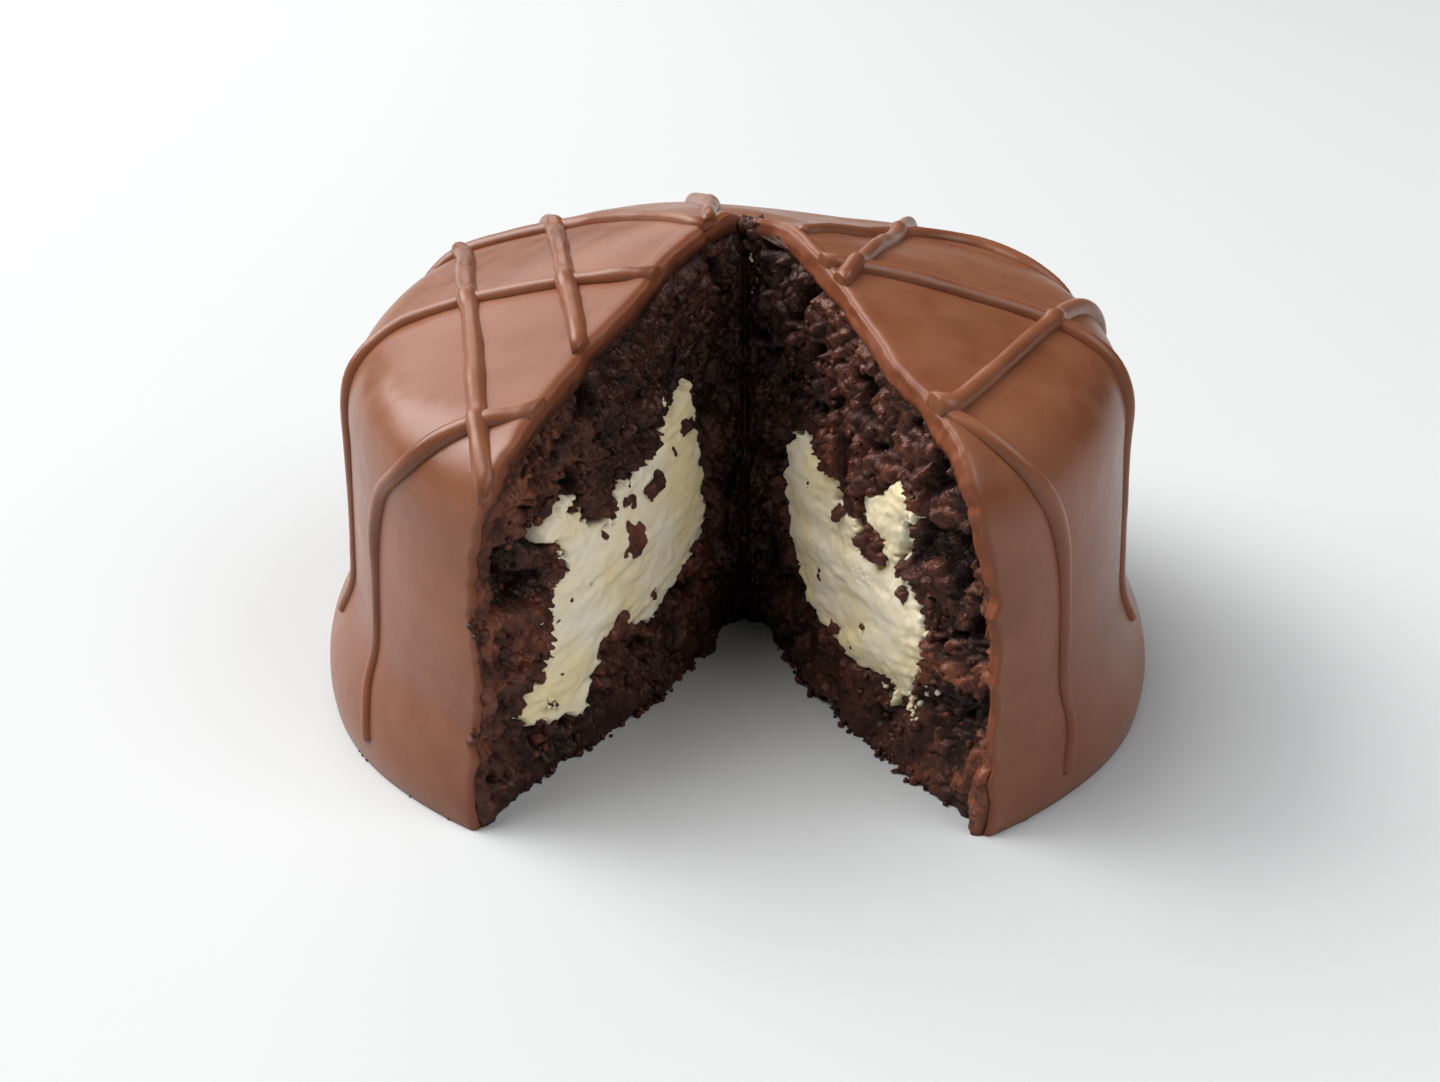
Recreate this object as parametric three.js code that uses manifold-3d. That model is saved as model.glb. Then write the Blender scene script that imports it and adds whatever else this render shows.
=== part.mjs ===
// A round single-serve chocolate cake: dark moist sponge with a cream filling, enrobed in
// milk chocolate and crossed by drizzled chocolate ridges. A V-shaped opening has been cut
// out of the front (-Y), a little past the centre, so both cut faces show sponge and cream.
// Millimetres, +Z up. The cake is modelled about its own axis and stands on z = 0; at the
// end the group is moved so that the bottom centre of its box is the origin.

import * as THREE from "three";
import { mergeVertices } from "three/addons/utils/BufferGeometryUtils.js";
import Module from "manifold-3d";

const wasm = await Module();
wasm.setup();

// Driving dimensions
const FOOT_RADIUS = 38; // the coat's foot on the surface it stands on
const HEIGHT = 42.3; // peak of the dome
const COAT_THICKNESS = 1.5;
const COAT_CLEARANCE = 0.4; // the coat's foot ends this far above the surface
const GAP = 0.3; // between pieces that touch
const BACK_LIFT = 0.035; // share by which the rear of the dome stands higher

// The cut: its inner end lies past the cake's axis, and each face makes its own angle with -Y
const CUT_TIP = new THREE.Vector2(0.7, 3.1);
const LEFT_ANGLE = THREE.MathUtils.degToRad(31.8);
const RIGHT_ANGLE = THREE.MathUtils.degToRad(28.1);
const CUT_INNER = 0.5; // the faces start this far from the tip, which rounds the valley
const CUT_OUTER = 52; // and run out past the cake
const CUT_BELOW = -3;
const CUT_ABOVE = HEIGHT + 6;

// Torn crumb on the cut faces
const CRAG_COARSE = { size: 9, height: 1.0 };
const CRAG_FINE = { size: 4.2, height: 0.55 };
const CRAG_STEPS_OUT = 18;
const CRAG_STEPS_UP = 16;
const TIP_BLEND = 7; // crags grow from nothing over this distance from the tip

// Drizzled ridges
const RIDGE_RADIUS = 1.15;
const RIDGE_SINK = 0.45; // the ridge's centre line lies this deep in the coat
const RIDGE_SIDES = 6;
const RIDGE_STEP = 5;

const TURN_SEGMENTS = 48;
const ARC_STEPS = 4;

// ---------- outlines ----------

// A quadratic curve between two outline points, without its first point.
function bend(from, control, to, steps = ARC_STEPS) {
  const curve = new THREE.QuadraticBezierCurve(from, control, to);
  return curve.getPoints(steps).slice(1);
}

// The coat's outer outline, from the peak of the dome down to the foot: a shallow dome,
// a round shoulder, a wall that widens a little on its way down, and a small flared foot.
function coatOutline() {
  const peak = new THREE.Vector2(0, HEIGHT);
  const domeEdge = new THREE.Vector2(29.5, 33);
  const wallTop = new THREE.Vector2(34.6, 25.2);
  const wallFoot = new THREE.Vector2(36.1, 9.6);
  const foot = new THREE.Vector2(FOOT_RADIUS, COAT_CLEARANCE);
  return [
    peak,
    ...bend(peak, new THREE.Vector2(15.3, 38.4), domeEdge),
    ...bend(domeEdge, new THREE.Vector2(34.5, 31.1), wallTop),
    ...bend(wallTop, new THREE.Vector2(35.3, 17), wallFoot, 2),
    ...bend(wallFoot, new THREE.Vector2(38, 3), foot, 3),
  ];
}

// Moves every point of a polyline sideways: to the right of its direction by distance.
// On a closed outline the ends join up.
function offsetOutline(points, distance, closed) {
  const count = points.length;
  const edgeNormal = (from, to) => {
    const direction = to.clone().sub(from).normalize();
    return new THREE.Vector2(direction.y, -direction.x);
  };
  return points.map((point, index) => {
    const before = closed || index > 0 ? points[(index - 1 + count) % count] : null;
    const after = closed || index < count - 1 ? points[(index + 1) % count] : null;
    const first = before ? edgeNormal(before, point) : edgeNormal(point, after);
    const second = after ? edgeNormal(point, after) : first;
    const shift = first.clone().add(second).divideScalar(1 + first.dot(second));
    return point.clone().addScaledVector(shift, distance);
  });
}

// The coat's outline moved inwards, with its first point kept on the axis.
function insetOutline(inset) {
  const points = offsetOutline(coatOutline(), inset, false);
  points[0].set(0, HEIGHT - inset);
  return points;
}

// ---------- surfaces ----------

// The rear of the cake stands a little higher: the lift grows with the distance behind the axis.
function lifted(y, z) {
  return z * (1 + BACK_LIFT * Math.max(0, y / FOOT_RADIUS) ** 1.5);
}

// Turns an outline, given from the top down, about the cake's axis.
function turned(points) {
  const geometry = new THREE.LatheGeometry([...points].reverse(), TURN_SEGMENTS);
  geometry.rotateX(Math.PI / 2);
  const position = geometry.attributes.position;
  for (let index = 0; index < position.count; index += 1) {
    position.setZ(index, lifted(position.getY(index), position.getZ(index)));
  }
  return geometry;
}

// A repeatable random value between -1 and 1 for each lattice corner.
function cornerValue(i, j, seed) {
  const wave = Math.sin(i * 127.1 + j * 311.7 + seed * 74.7) * 43758.5453;
  return 2 * (wave - Math.floor(wave)) - 1;
}

// Smooth noise between -1 and 1 over a plane, with lumps of the given size.
function lumps(u, v, size, seed) {
  const i = Math.floor(u / size);
  const j = Math.floor(v / size);
  const blendU = THREE.MathUtils.smoothstep(u / size - i, 0, 1);
  const blendV = THREE.MathUtils.smoothstep(v / size - j, 0, 1);
  const low = THREE.MathUtils.lerp(cornerValue(i, j, seed), cornerValue(i + 1, j, seed), blendU);
  const high = THREE.MathUtils.lerp(
    cornerValue(i, j + 1, seed),
    cornerValue(i + 1, j + 1, seed),
    blendU,
  );
  return THREE.MathUtils.lerp(low, high, blendV);
}

// How far the torn crumb stands out of a cut face, at a distance out from the tip and a height.
function cragHeight(out, up, seed) {
  const coarse = CRAG_COARSE.height * lumps(out, up, CRAG_COARSE.size, seed);
  const fine = CRAG_FINE.height * lumps(out, up, CRAG_FINE.size, seed + 9);
  return (coarse + fine) * THREE.MathUtils.smoothstep(out, 0, TIP_BLEND);
}

// A point of a cut face; side is -1 for the left face and +1 for the right one.
function cutFacePoint(side, out, up) {
  const angle = side < 0 ? LEFT_ANGLE : RIGHT_ANGLE;
  const crag = cragHeight(out, up, side < 0 ? 1 : 2);
  return new THREE.Vector3(
    CUT_TIP.x + side * (Math.sin(angle) * out - Math.cos(angle) * crag),
    CUT_TIP.y - Math.cos(angle) * out - Math.sin(angle) * crag,
    up,
  );
}

// ---------- solids ----------

// A closed geometry as a solid that can be joined and cut.
function toSolid(geometry) {
  const bare = geometry.clone();
  bare.deleteAttribute("normal");
  bare.deleteAttribute("uv");
  const merged = mergeVertices(bare, 1e-3);
  const corners = merged.index.array;
  const kept = [];
  for (let index = 0; index < corners.length; index += 3) {
    const [a, b, c] = corners.slice(index, index + 3);
    if (a !== b && b !== c && c !== a) kept.push(a, b, c);
  }
  return new wasm.Manifold(
    new wasm.Mesh({
      numProp: 3,
      vertProperties: new Float32Array(merged.attributes.position.array),
      triVerts: new Uint32Array(kept),
    }),
  );
}

// A solid as a named mesh with its own material.
function toMesh(name, solid, material) {
  const result = solid.getMesh();
  const geometry = new THREE.BufferGeometry();
  geometry.setAttribute("position", new THREE.BufferAttribute(result.vertProperties, 3));
  geometry.setIndex(new THREE.BufferAttribute(result.triVerts, 1));
  const mesh = new THREE.Mesh(geometry, material);
  mesh.name = name;
  return mesh;
}

// The wedge that is cut away, with the two torn faces as its sides.
function cutWedge() {
  const geometry = new THREE.BoxGeometry(1, 1, 1, 1, CRAG_STEPS_OUT, CRAG_STEPS_UP);
  const position = geometry.attributes.position;
  for (let index = 0; index < position.count; index += 1) {
    const across = position.getX(index) + 0.5;
    const out = THREE.MathUtils.lerp(CUT_INNER, CUT_OUTER, 0.5 - position.getY(index));
    const up = THREE.MathUtils.lerp(CUT_BELOW, CUT_ABOVE, position.getZ(index) + 0.5);
    const point = cutFacePoint(-1, out, up).lerp(cutFacePoint(1, out, up), across);
    position.setXYZ(index, point.x, point.y, point.z);
  }
  return toSolid(geometry);
}

// ---------- drizzle ----------

// A drizzle line is drawn on the coat laid out flat: a point's distance from the middle is
// the length along the outline from the peak, so a line over the edge runs straight outwards.
function drape(flat) {
  const outline = coatOutline();
  let remaining = flat.length();
  let index = 0;
  while (index < outline.length - 2 && remaining > outline[index].distanceTo(outline[index + 1])) {
    remaining -= outline[index].distanceTo(outline[index + 1]);
    index += 1;
  }
  const span = outline[index + 1].clone().sub(outline[index]);
  const spot = outline[index].clone().addScaledVector(span, remaining / span.length());
  const inward = new THREE.Vector2(span.y, -span.x).normalize();
  spot.addScaledVector(inward, RIDGE_SINK);
  const direction = flat.clone().normalize();
  const y = direction.y * spot.x;
  return new THREE.Vector3(direction.x * spot.x, y, lifted(y, spot.y));
}

// A ridge of drizzled chocolate along a line of flat points.
function drizzleRidge(points) {
  const line = new THREE.SplineCurve(points.map(([x, y]) => new THREE.Vector2(x, y)));
  const steps = Math.round(line.getLength() / RIDGE_STEP);
  const path = new THREE.CatmullRomCurve3(line.getSpacedPoints(steps).map(drape));
  const section = new THREE.Shape();
  for (let side = 0; side < RIDGE_SIDES; side += 1) {
    const angle = ((side + 0.5) / RIDGE_SIDES) * 2 * Math.PI;
    const corner = [RIDGE_RADIUS * Math.cos(angle), RIDGE_RADIUS * Math.sin(angle)];
    if (side === 0) section.moveTo(...corner);
    else section.lineTo(...corner);
  }
  return toSolid(new THREE.ExtrudeGeometry(section, { extrudePath: path, steps }));
}

// Flat points of each drizzled line, in millimetres. Lines that meet the opening start
// inside it and are trimmed by the cut.
const DRIZZLE_LINES = [
  // left of the opening, running outwards
  [[1, -5], [-2.9, -1.8], [-10.2, 7], [-15.5, 12], [-22, 15], [-30, 16], [-42, 17], [-52, 20]],
  [[-3.5, -9.5], [-11.4, -7.5], [-20.3, -5], [-29.8, -3.9], [-37.5, -6.5], [-48, -10.5], [-57, -12]],
  [[-12, -23.2], [-21, -23.9], [-28.1, -24.2], [-34, -23.4], [-39, -23.8], [-45, -27.5], [-50.5, -34]],
  // left of the opening, running back
  [[-20.2, -36], [-20.6, -24], [-22.1, -15], [-23.9, -5.7], [-25.6, 3], [-28, 15], [-33, 27], [-42, 38]],
  [[-11.4, -22], [-13.7, -12.2], [-15.1, -5.1], [-17.1, 7.2], [-19.6, 22], [-25, 38], [-31, 50]],
  [[-2.3, -6], [-2.5, -2], [-2.8, 13], [-5, 32], [-6.5, 50]],
  // right of the opening, running outwards
  [[2.5, -6], [5.5, -1.2], [9.6, 5.2], [14, 11], [19, 15], [24.5, 16], [30, 13.2], [37, 12], [47, 14], [56, 17]],
  [[4, -7], [15.8, -5.1], [23.6, -5.1], [32.3, -7.4], [41, -10], [48, -12.5], [57, -15]],
  [[13, -21.5], [20.8, -26.3], [28.9, -28.4], [37.3, -33.4], [43.3, -40]],
  // right of the opening, running back
  [[7, -13.5], [9, -8.4], [12.8, 1.9], [15.5, 12], [18.5, 26], [23, 40], [27, 48]],
  [[13.5, -28], [17.4, -22.5], [22.1, -15.7], [28.1, -5.7], [34, 3.5], [41, 8], [50, 11]],
  // across the rear
  [[-42, 44], [-30, 38], [-12, 34], [6, 36], [24, 34], [36, 36], [44, 42]],
];

// ---------- pieces ----------

// Milk chocolate shell, open below, with the drizzled ridges fused to it.
function coatSolid(wedge) {
  const inside = insetOutline(COAT_THICKNESS);
  inside[inside.length - 1].y = -GAP;
  const outline = coatOutline();
  const rim = outline[outline.length - 1];
  let shell = toSolid(turned([...outline, new THREE.Vector2(0, rim.y)]));
  for (const line of DRIZZLE_LINES) shell = shell.add(drizzleRidge(line));
  const hollow = toSolid(turned([...inside, new THREE.Vector2(0, -GAP)]));
  return shell.subtract(hollow).subtract(wedge);
}

// The filling's cut ends, as distance out from the tip and height; the first is the left one.
const FILLING_LEFT = [
  [6.8, 15], [7.4, 22.5], [9.5, 27.3], [13.5, 25], [18, 22.8], [22, 21.2],
  [26, 24.2], [28.4, 21.5], [28.2, 16.5], [30, 9.5], [31.5, 6.4], [25, 7.2], [17, 8.9], [10.5, 10.6],
];
const FILLING_RIGHT = [
  [6.6, 15], [7, 21.8], [9.2, 24.4], [13, 23.3], [17.5, 20.8], [20.5, 22.4],
  [25.5, 26.2], [27.2, 24.2], [26.8, 19], [31, 14], [29, 8.6], [25.5, 5.6], [18, 6.2], [10.5, 9.4],
];

// How far the wall is from the cut's tip in a direction given as an angle from -Y.
function reach(angle) {
  const direction = new THREE.Vector2(Math.sin(angle), -Math.cos(angle));
  const along = CUT_TIP.dot(direction);
  return -along + Math.sqrt(along ** 2 - CUT_TIP.lengthSq() + FOOT_RADIUS ** 2);
}

// The filling is a ring round the tip. Its section changes from one cut end to the other on
// the way round the back, and its width follows the distance to the wall.
function fillingRing(clearance) {
  const toPoints = (list) => list.map(([out, up]) => new THREE.Vector2(out, up)).reverse();
  const left = offsetOutline(toPoints(FILLING_LEFT), clearance, true);
  const right = offsetOutline(toPoints(FILLING_RIGHT), clearance, true);
  const count = left.length;
  const closed = [...left, left[0]];
  const geometry = new THREE.LatheGeometry(closed, TURN_SEGMENTS);
  const position = geometry.attributes.position;
  for (let index = 0; index < position.count; index += 1) {
    const angle = (Math.floor(index / (count + 1)) / TURN_SEGMENTS) * 2 * Math.PI;
    const corner = index % (count + 1) % count;
    const towardsRight = 0.5 + 0.5 * Math.sin(angle);
    const point = left[corner].clone().lerp(right[corner], towardsRight);
    const out = (point.x * reach(angle)) / reach(-LEFT_ANGLE);
    position.setXYZ(
      index,
      CUT_TIP.x + Math.sin(angle) * out,
      CUT_TIP.y - Math.cos(angle) * out,
      point.y,
    );
  }
  return toSolid(geometry);
}

// Dark sponge: everything inside the coat except the filling.
function spongeSolid(wedge) {
  const outline = insetOutline(COAT_THICKNESS + GAP);
  outline[outline.length - 1].y = 0;
  const body = toSolid(turned([...outline, new THREE.Vector2(0, 0)]));
  return body.subtract(fillingRing(GAP)).subtract(wedge);
}

const coatMaterial = new THREE.MeshStandardMaterial({ color: 0x8a5a3c, roughness: 0.38 });
const spongeMaterial = new THREE.MeshStandardMaterial({ color: 0x2c1a14, roughness: 0.7 });
const fillingMaterial = new THREE.MeshStandardMaterial({ color: 0xe9dfc6, roughness: 0.5 });

const wedge = cutWedge();
const cake = new THREE.Group();
cake.add(
  toMesh("chocolate_coat", coatSolid(wedge), coatMaterial),
  toMesh("sponge", spongeSolid(wedge), spongeMaterial),
  toMesh("cream_filling", fillingRing(0).subtract(wedge), fillingMaterial),
);

const box = new THREE.Box3().setFromObject(cake);
const middle = box.getCenter(new THREE.Vector3());
cake.position.set(-middle.x, -middle.y, -box.min.z);

export default cake;
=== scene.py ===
"""A round chocolate cake for one, cut open to just past its middle.

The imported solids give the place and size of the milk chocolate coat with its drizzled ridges,
the dark sponge and the cream filling. Each is replaced here by a fine surface of the same form,
and loose crumbs and specks of cream lie on the cut faces.

Shapes are in millimetres, and meshes in metres. A point of the coat has an arc: its way along
the outline from the peak. Round the tip of the cut a point has a bearing, measured from -Y, and
a distance out. The two cut faces are one sheet laid flat: across is the distance from the tip,
negative on the left face, and up is the height.
"""

import math

import bmesh
import bpy
import numpy as np
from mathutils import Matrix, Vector


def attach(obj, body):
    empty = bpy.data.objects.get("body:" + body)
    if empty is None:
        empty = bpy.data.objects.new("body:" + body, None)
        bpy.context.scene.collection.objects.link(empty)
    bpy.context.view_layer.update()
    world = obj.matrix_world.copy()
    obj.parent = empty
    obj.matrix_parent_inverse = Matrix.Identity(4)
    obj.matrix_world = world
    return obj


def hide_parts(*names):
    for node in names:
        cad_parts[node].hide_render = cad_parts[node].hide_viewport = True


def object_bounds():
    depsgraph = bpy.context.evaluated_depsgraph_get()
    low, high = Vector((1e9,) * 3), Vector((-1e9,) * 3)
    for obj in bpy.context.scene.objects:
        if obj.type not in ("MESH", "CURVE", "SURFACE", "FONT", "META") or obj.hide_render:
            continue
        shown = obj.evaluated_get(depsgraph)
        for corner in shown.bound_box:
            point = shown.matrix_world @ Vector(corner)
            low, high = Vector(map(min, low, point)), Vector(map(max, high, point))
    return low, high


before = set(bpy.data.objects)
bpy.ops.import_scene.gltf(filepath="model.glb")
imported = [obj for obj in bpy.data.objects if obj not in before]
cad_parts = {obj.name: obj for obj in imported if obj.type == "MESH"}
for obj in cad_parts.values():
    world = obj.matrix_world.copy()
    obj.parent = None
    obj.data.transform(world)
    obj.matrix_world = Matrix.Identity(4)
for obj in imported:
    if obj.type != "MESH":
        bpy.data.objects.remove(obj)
CAD_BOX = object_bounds()

MM = 0.001

# ---------- sizes shared with the solids ----------

FOOT_RADIUS = 38.0
COAT_THICKNESS = 1.5
BACK_LIFT = 0.033     # the rear stands higher by this share of the height
SIDE_SCALE = 0.973    # the cake is a little narrower from side to side than front to back
CUT_TIP = np.array([0.7, 3.1])
BEARINGS = {-1: math.radians(-31.8), 1: math.radians(28.1)}  # of the left and the right cut
BEHIND = 2 * math.pi + BEARINGS[-1] - BEARINGS[1]   # the way round the back between them

# Behind and to the right of the peak the dome has slumped: place, reach both ways and depth
SLUMP_PLACE = (8.0, 17.0)
SLUMP_REACH = (9.5, 17.0)
SLUMP_DEPTH = 1.6

# The solids' box is centred on the origin, and its rear edge is the foot's.
AXIS_Y = CAD_BOX[1].y / MM - FOOT_RADIUS

# The coat's outline: peak, dome's edge, top of the wall, its foot and the foot of the cake, and
# the control points that join each pair
PEAK = (0.0, 42.46)
FOOT = (38.9, 0.12)
OUTLINE_CORNERS = [PEAK, (29.9, 33.3), (34.9, 25.3), (36.5, 9.8), FOOT]
OUTLINE_CONTROLS = [(15.05, 38.4), (34.95, 31.3), (35.7, 17.5), (39.7, 2.6)]
OUTLINE_STEPS = 60
OUTLINE_STEP = 0.25
OUTLINE_SOFTENING = 13   # steps that are averaged, so that the curves join without a crease


# ---------- noise ----------

def corner_value(i, j, k, seed):
    """A repeatable random value from -1 to 1 for a whole-number corner and a seed, mixed by
    integer products and shifts."""
    mixed = (i * 374761393 + j * 668265263 + k * 2147483647 + seed * 974634777) & 0xFFFFFFFF
    mixed = ((mixed ^ (mixed >> 13)) * 1274126177) & 0xFFFFFFFF
    mixed = (mixed ^ (mixed >> 16)) & 0xFFFFFFFF
    return mixed / 2147483647.5 - 1.0


def lumps(points, size, seed):
    """Smooth noise from -1 to 1 with lumps of a size: the values at the eight corners of a point's
    lattice cell, blended by the smooth step of its place in it."""
    scaled = np.asarray(points, float) / size
    cell = np.floor(scaled).astype(np.int64)
    part = scaled - cell
    blend = part * part * part * (part * (part * 6 - 15) + 10)
    total = np.zeros(scaled.shape[:-1])
    for corner in np.ndindex(2, 2, 2):
        weight = np.ones(scaled.shape[:-1])
        for axis, step in enumerate(corner):
            weight = weight * (blend[..., axis] if step else 1 - blend[..., axis])
        total += weight * corner_value(*np.moveaxis(cell + corner, -1, 0), seed)
    return total


def flat_point(u, v=0.0, w=0.0):
    """Noise coordinates from one to three numbers."""
    return np.stack(np.broadcast_arrays(u, v, w), -1).astype(float)


def grains(u, v, size, seed):
    """Cells round random centres, one to a lattice square: the distance to the nearest centre and
    to the second nearest, as shares of the size, and a random value that a whole cell shares."""
    u, v = u / size, v / size
    cell_u, cell_v = np.floor(u).astype(np.int64), np.floor(v).astype(np.int64)
    nearest, second, own = np.full(u.shape, 9.0), np.full(u.shape, 9.0), np.zeros(u.shape)
    for du, dv in np.ndindex(3, 3):
        i, j = cell_u + du - 1, cell_v + dv - 1
        distance = np.hypot(u - (i + 0.5 + 0.45 * corner_value(i, j, 0, seed)),
                            v - (j + 0.5 + 0.45 * corner_value(i, j, 5, seed)))
        own = np.where(distance < nearest, corner_value(i, j, 9, seed), own)
        second = np.minimum(second, np.maximum(nearest, distance))
        nearest = np.minimum(nearest, distance)
    return nearest, second, own


def smooth(low, high, value):
    """0 up to low, 1 from high on, and an S curve between them."""
    part = np.clip((value - low) / (high - low), 0, 1)
    return part * part * (3 - 2 * part)


# ---------- outline of the cake ----------

def running(steps):
    """The running total from 0."""
    return np.concatenate([[0], np.cumsum(steps)])


def outline():
    """Quadratic curves, (1-s)^2 from + 2s(1-s) control + s^2 to, laid out in even steps and
    averaged over a few. Past each end comes its own half turn, so the ends stay in place."""
    share = np.linspace(0, 1, OUTLINE_STEPS + 1)[1:, None]
    points = np.vstack([[PEAK]] + [(1 - share) ** 2 * np.array(start)
                                   + 2 * share * (1 - share) * np.array(control)
                                   + share ** 2 * np.array(end)
                                   for start, control, end in zip(
                                       OUTLINE_CORNERS, OUTLINE_CONTROLS, OUTLINE_CORNERS[1:])])
    arc = running(np.hypot(*np.diff(points, axis=0).T))
    even = np.linspace(0, arc[-1], int(arc[-1] / OUTLINE_STEP))
    points = np.stack([np.interp(even, arc, column) for column in points.T], -1)
    half = OUTLINE_SOFTENING // 2
    longer = np.vstack([points[half:0:-1] * [-1, 1], points,
                        2 * points[-1] - points[-2:-half - 2:-1]])
    weight = np.ones(OUTLINE_SOFTENING) / OUTLINE_SOFTENING
    soft = np.stack([np.convolve(column, weight, "valid") for column in longer.T], -1)
    soft[0, 0] = 0
    return soft


OUTLINE = outline()
OUTLINE_ARC = running(np.hypot(*np.diff(OUTLINE, axis=0).T))
OUTLINE_SLOPE = np.gradient(OUTLINE, OUTLINE_ARC, axis=0)
FOOT_ARC = OUTLINE_ARC[-1]
TIP_ARC = float(np.interp(np.hypot(CUT_TIP[0] / SIDE_SCALE, CUT_TIP[1]),
                          OUTLINE[:, 0], OUTLINE_ARC))
SHOULDER_ARC = 36.0
DOME_RADIUS = 28.0  # the coat is laid out by radius up to here, and further out by arc
DOME_ARC = float(np.interp(DOME_RADIUS, OUTLINE[:, 0], OUTLINE_ARC))


def settled(x, y, z):
    """Height as the cake stands: raised by a power of the distance behind, and lowered by a bell-
    shaped slump behind the peak."""
    raised = z * (1 + BACK_LIFT * np.clip(y / FOOT_RADIUS, 0, None) ** 1.5)
    away = (((x - SLUMP_PLACE[0]) / SLUMP_REACH[0]) ** 2
            + ((y - SLUMP_PLACE[1]) / SLUMP_REACH[1]) ** 2)
    return raised - SLUMP_DEPTH * np.exp(-away) * smooth(10.0, 30.0, z)


def outline_at(arc, inset):
    """Radius and height at an arc, moved inwards by inset along the outline's normal."""
    radius = np.interp(arc, OUTLINE_ARC, OUTLINE[:, 0])
    height = np.interp(arc, OUTLINE_ARC, OUTLINE[:, 1])
    slope_r = np.interp(arc, OUTLINE_ARC, OUTLINE_SLOPE[:, 0])
    slope_z = np.interp(arc, OUTLINE_ARC, OUTLINE_SLOPE[:, 1])
    return radius + inset * slope_z, height - inset * slope_r


def reach(bearing, radius):
    """Distance from the cut's tip to the oval of a radius, along a bearing: the positive root of
    the quadratic for a ray that meets an ellipse."""
    way = np.array([np.sin(bearing) / SIDE_SCALE, -np.cos(bearing)])
    tip = (CUT_TIP[0] / SIDE_SCALE, CUT_TIP[1])
    square = way[0] ** 2 + way[1] ** 2
    along = tip[0] * way[0] + tip[1] * way[1]
    rest = tip[0] ** 2 + tip[1] ** 2 - np.square(radius)
    root = np.sqrt(np.maximum(along ** 2 - square * rest, 0))
    return np.maximum((-along + root) / square, 0)


def around_tip(bearing, out):
    """Plan point at a distance from the cut's tip along a bearing."""
    return CUT_TIP[0] + out * np.sin(bearing), CUT_TIP[1] - out * np.cos(bearing)


def tip_sag(x, y):
    """How far the coat has slumped just behind the cut's tip."""
    away = np.hypot(x - CUT_TIP[0] - 0.9, y - CUT_TIP[1] - 0.8)
    return 0.8 * smooth(6.0, 0.0, away)


# ---------- meshes ----------

MERGE_WITHIN = 0.002


def numbered(first, shape):
    """Point numbers from first on, laid out in a shape."""
    return first + np.arange(math.prod(shape)).reshape(shape)


def grid_faces(index):
    """Quads between the rows and columns of an array of point numbers."""
    return np.stack([index[:-1, :-1], index[:-1, 1:], index[1:, 1:], index[1:, :-1]],
                    -1).reshape(-1, 4)


def zipped_faces(one, two):
    """Triangles between two rows of point numbers. Both rows run from 0 to 1; their steps are
    sorted together, and each adds one triangle."""
    steps = np.concatenate([np.linspace(0, 1, len(one))[1:], np.linspace(0, 1, len(two))[1:]])
    order = np.argsort(steps, kind="stable")
    is_one = (np.arange(len(steps)) < len(one) - 1)[order]
    at_one, at_two = running(is_one), running(~is_one)
    new = np.where(is_one, one[at_one[1:]], two[at_two[1:]])
    return np.stack([one[at_one[:-1]], two[at_two[:-1]], new], -1)


def spread_at_foot(points):
    """Near the floor x grows and, at the front, y shrinks by a share that rises downwards."""
    low = smooth(13.0, 3.0, points[..., 2])
    front = smooth(-10.0, -30.0, points[..., 1])
    return points * np.stack([1 + 0.028 * low, 1 - 0.06 * low * front, np.ones(low.shape)], -1)


def new_object(name, data):
    """An object in the scene for a mesh, a lamp or a camera."""
    made = bpy.data.objects.new(name, data)
    bpy.context.scene.collection.objects.link(made)
    return made


def mesh_object(name, points, faces, material, attributes):
    """An object from points in millimetres round the cake's axis and a list of face arrays.
    Doubles are merged, and the closed shell's faces are turned outwards."""
    points = (spread_at_foot(points) + [0, AXIS_Y, 0]) * MM
    corners = np.concatenate([block.ravel() for block in faces])
    sizes = np.concatenate([np.full(len(block), block.shape[1]) for block in faces])
    mesh = bpy.data.meshes.new(name)
    mesh.vertices.add(len(points))
    mesh.vertices.foreach_set("co", points.ravel().astype(np.float32))
    mesh.loops.add(len(corners))
    mesh.loops.foreach_set("vertex_index", corners.astype(np.int32))
    mesh.polygons.add(len(sizes))
    mesh.polygons.foreach_set("loop_start", running(sizes)[:-1].astype(np.int32))
    for key, values in attributes.items():
        layer = mesh.attributes.new(key, "FLOAT", "POINT")
        layer.data.foreach_set("value", np.asarray(values, np.float32).ravel())
    mesh.update(calc_edges=True)
    shaped = bmesh.new()
    shaped.from_mesh(mesh)
    bmesh.ops.remove_doubles(shaped, verts=shaped.verts, dist=MERGE_WITHIN * MM)
    bmesh.ops.recalc_face_normals(shaped, faces=shaped.faces)
    shaped.to_mesh(mesh)
    shaped.free()
    mesh.shade_smooth()
    mesh.materials.append(material)
    made = new_object(name, mesh)
    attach(made, "root")
    return made


# ---------- the coat's surface ----------

def coat_point(x, y, arc, inset):
    """A point at a plan direction and arc, inset along the outline's normal."""
    azimuth = np.arctan2(x / SIDE_SCALE, -y)
    radius, height = outline_at(arc, inset)
    new_x = radius * np.sin(azimuth) * SIDE_SCALE
    new_y = -radius * np.cos(azimuth)
    return np.stack([new_x, new_y, settled(new_x, new_y, height)], -1)


def coat_swell(points, arc):
    """How far the coat stands out: broad swells, ripples down the wall and small dimples, which
    die away at the foot."""
    waves = (0.20 * lumps(points, 17.0, 1) + 0.12 * lumps(points * [1, 1, 0.35], 7.0, 2)
             + 0.03 * lumps(points, 2.8, 3))
    return waves * (0.25 + 0.75 * smooth(FOOT_ARC, FOOT_ARC - 5, arc))


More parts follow.
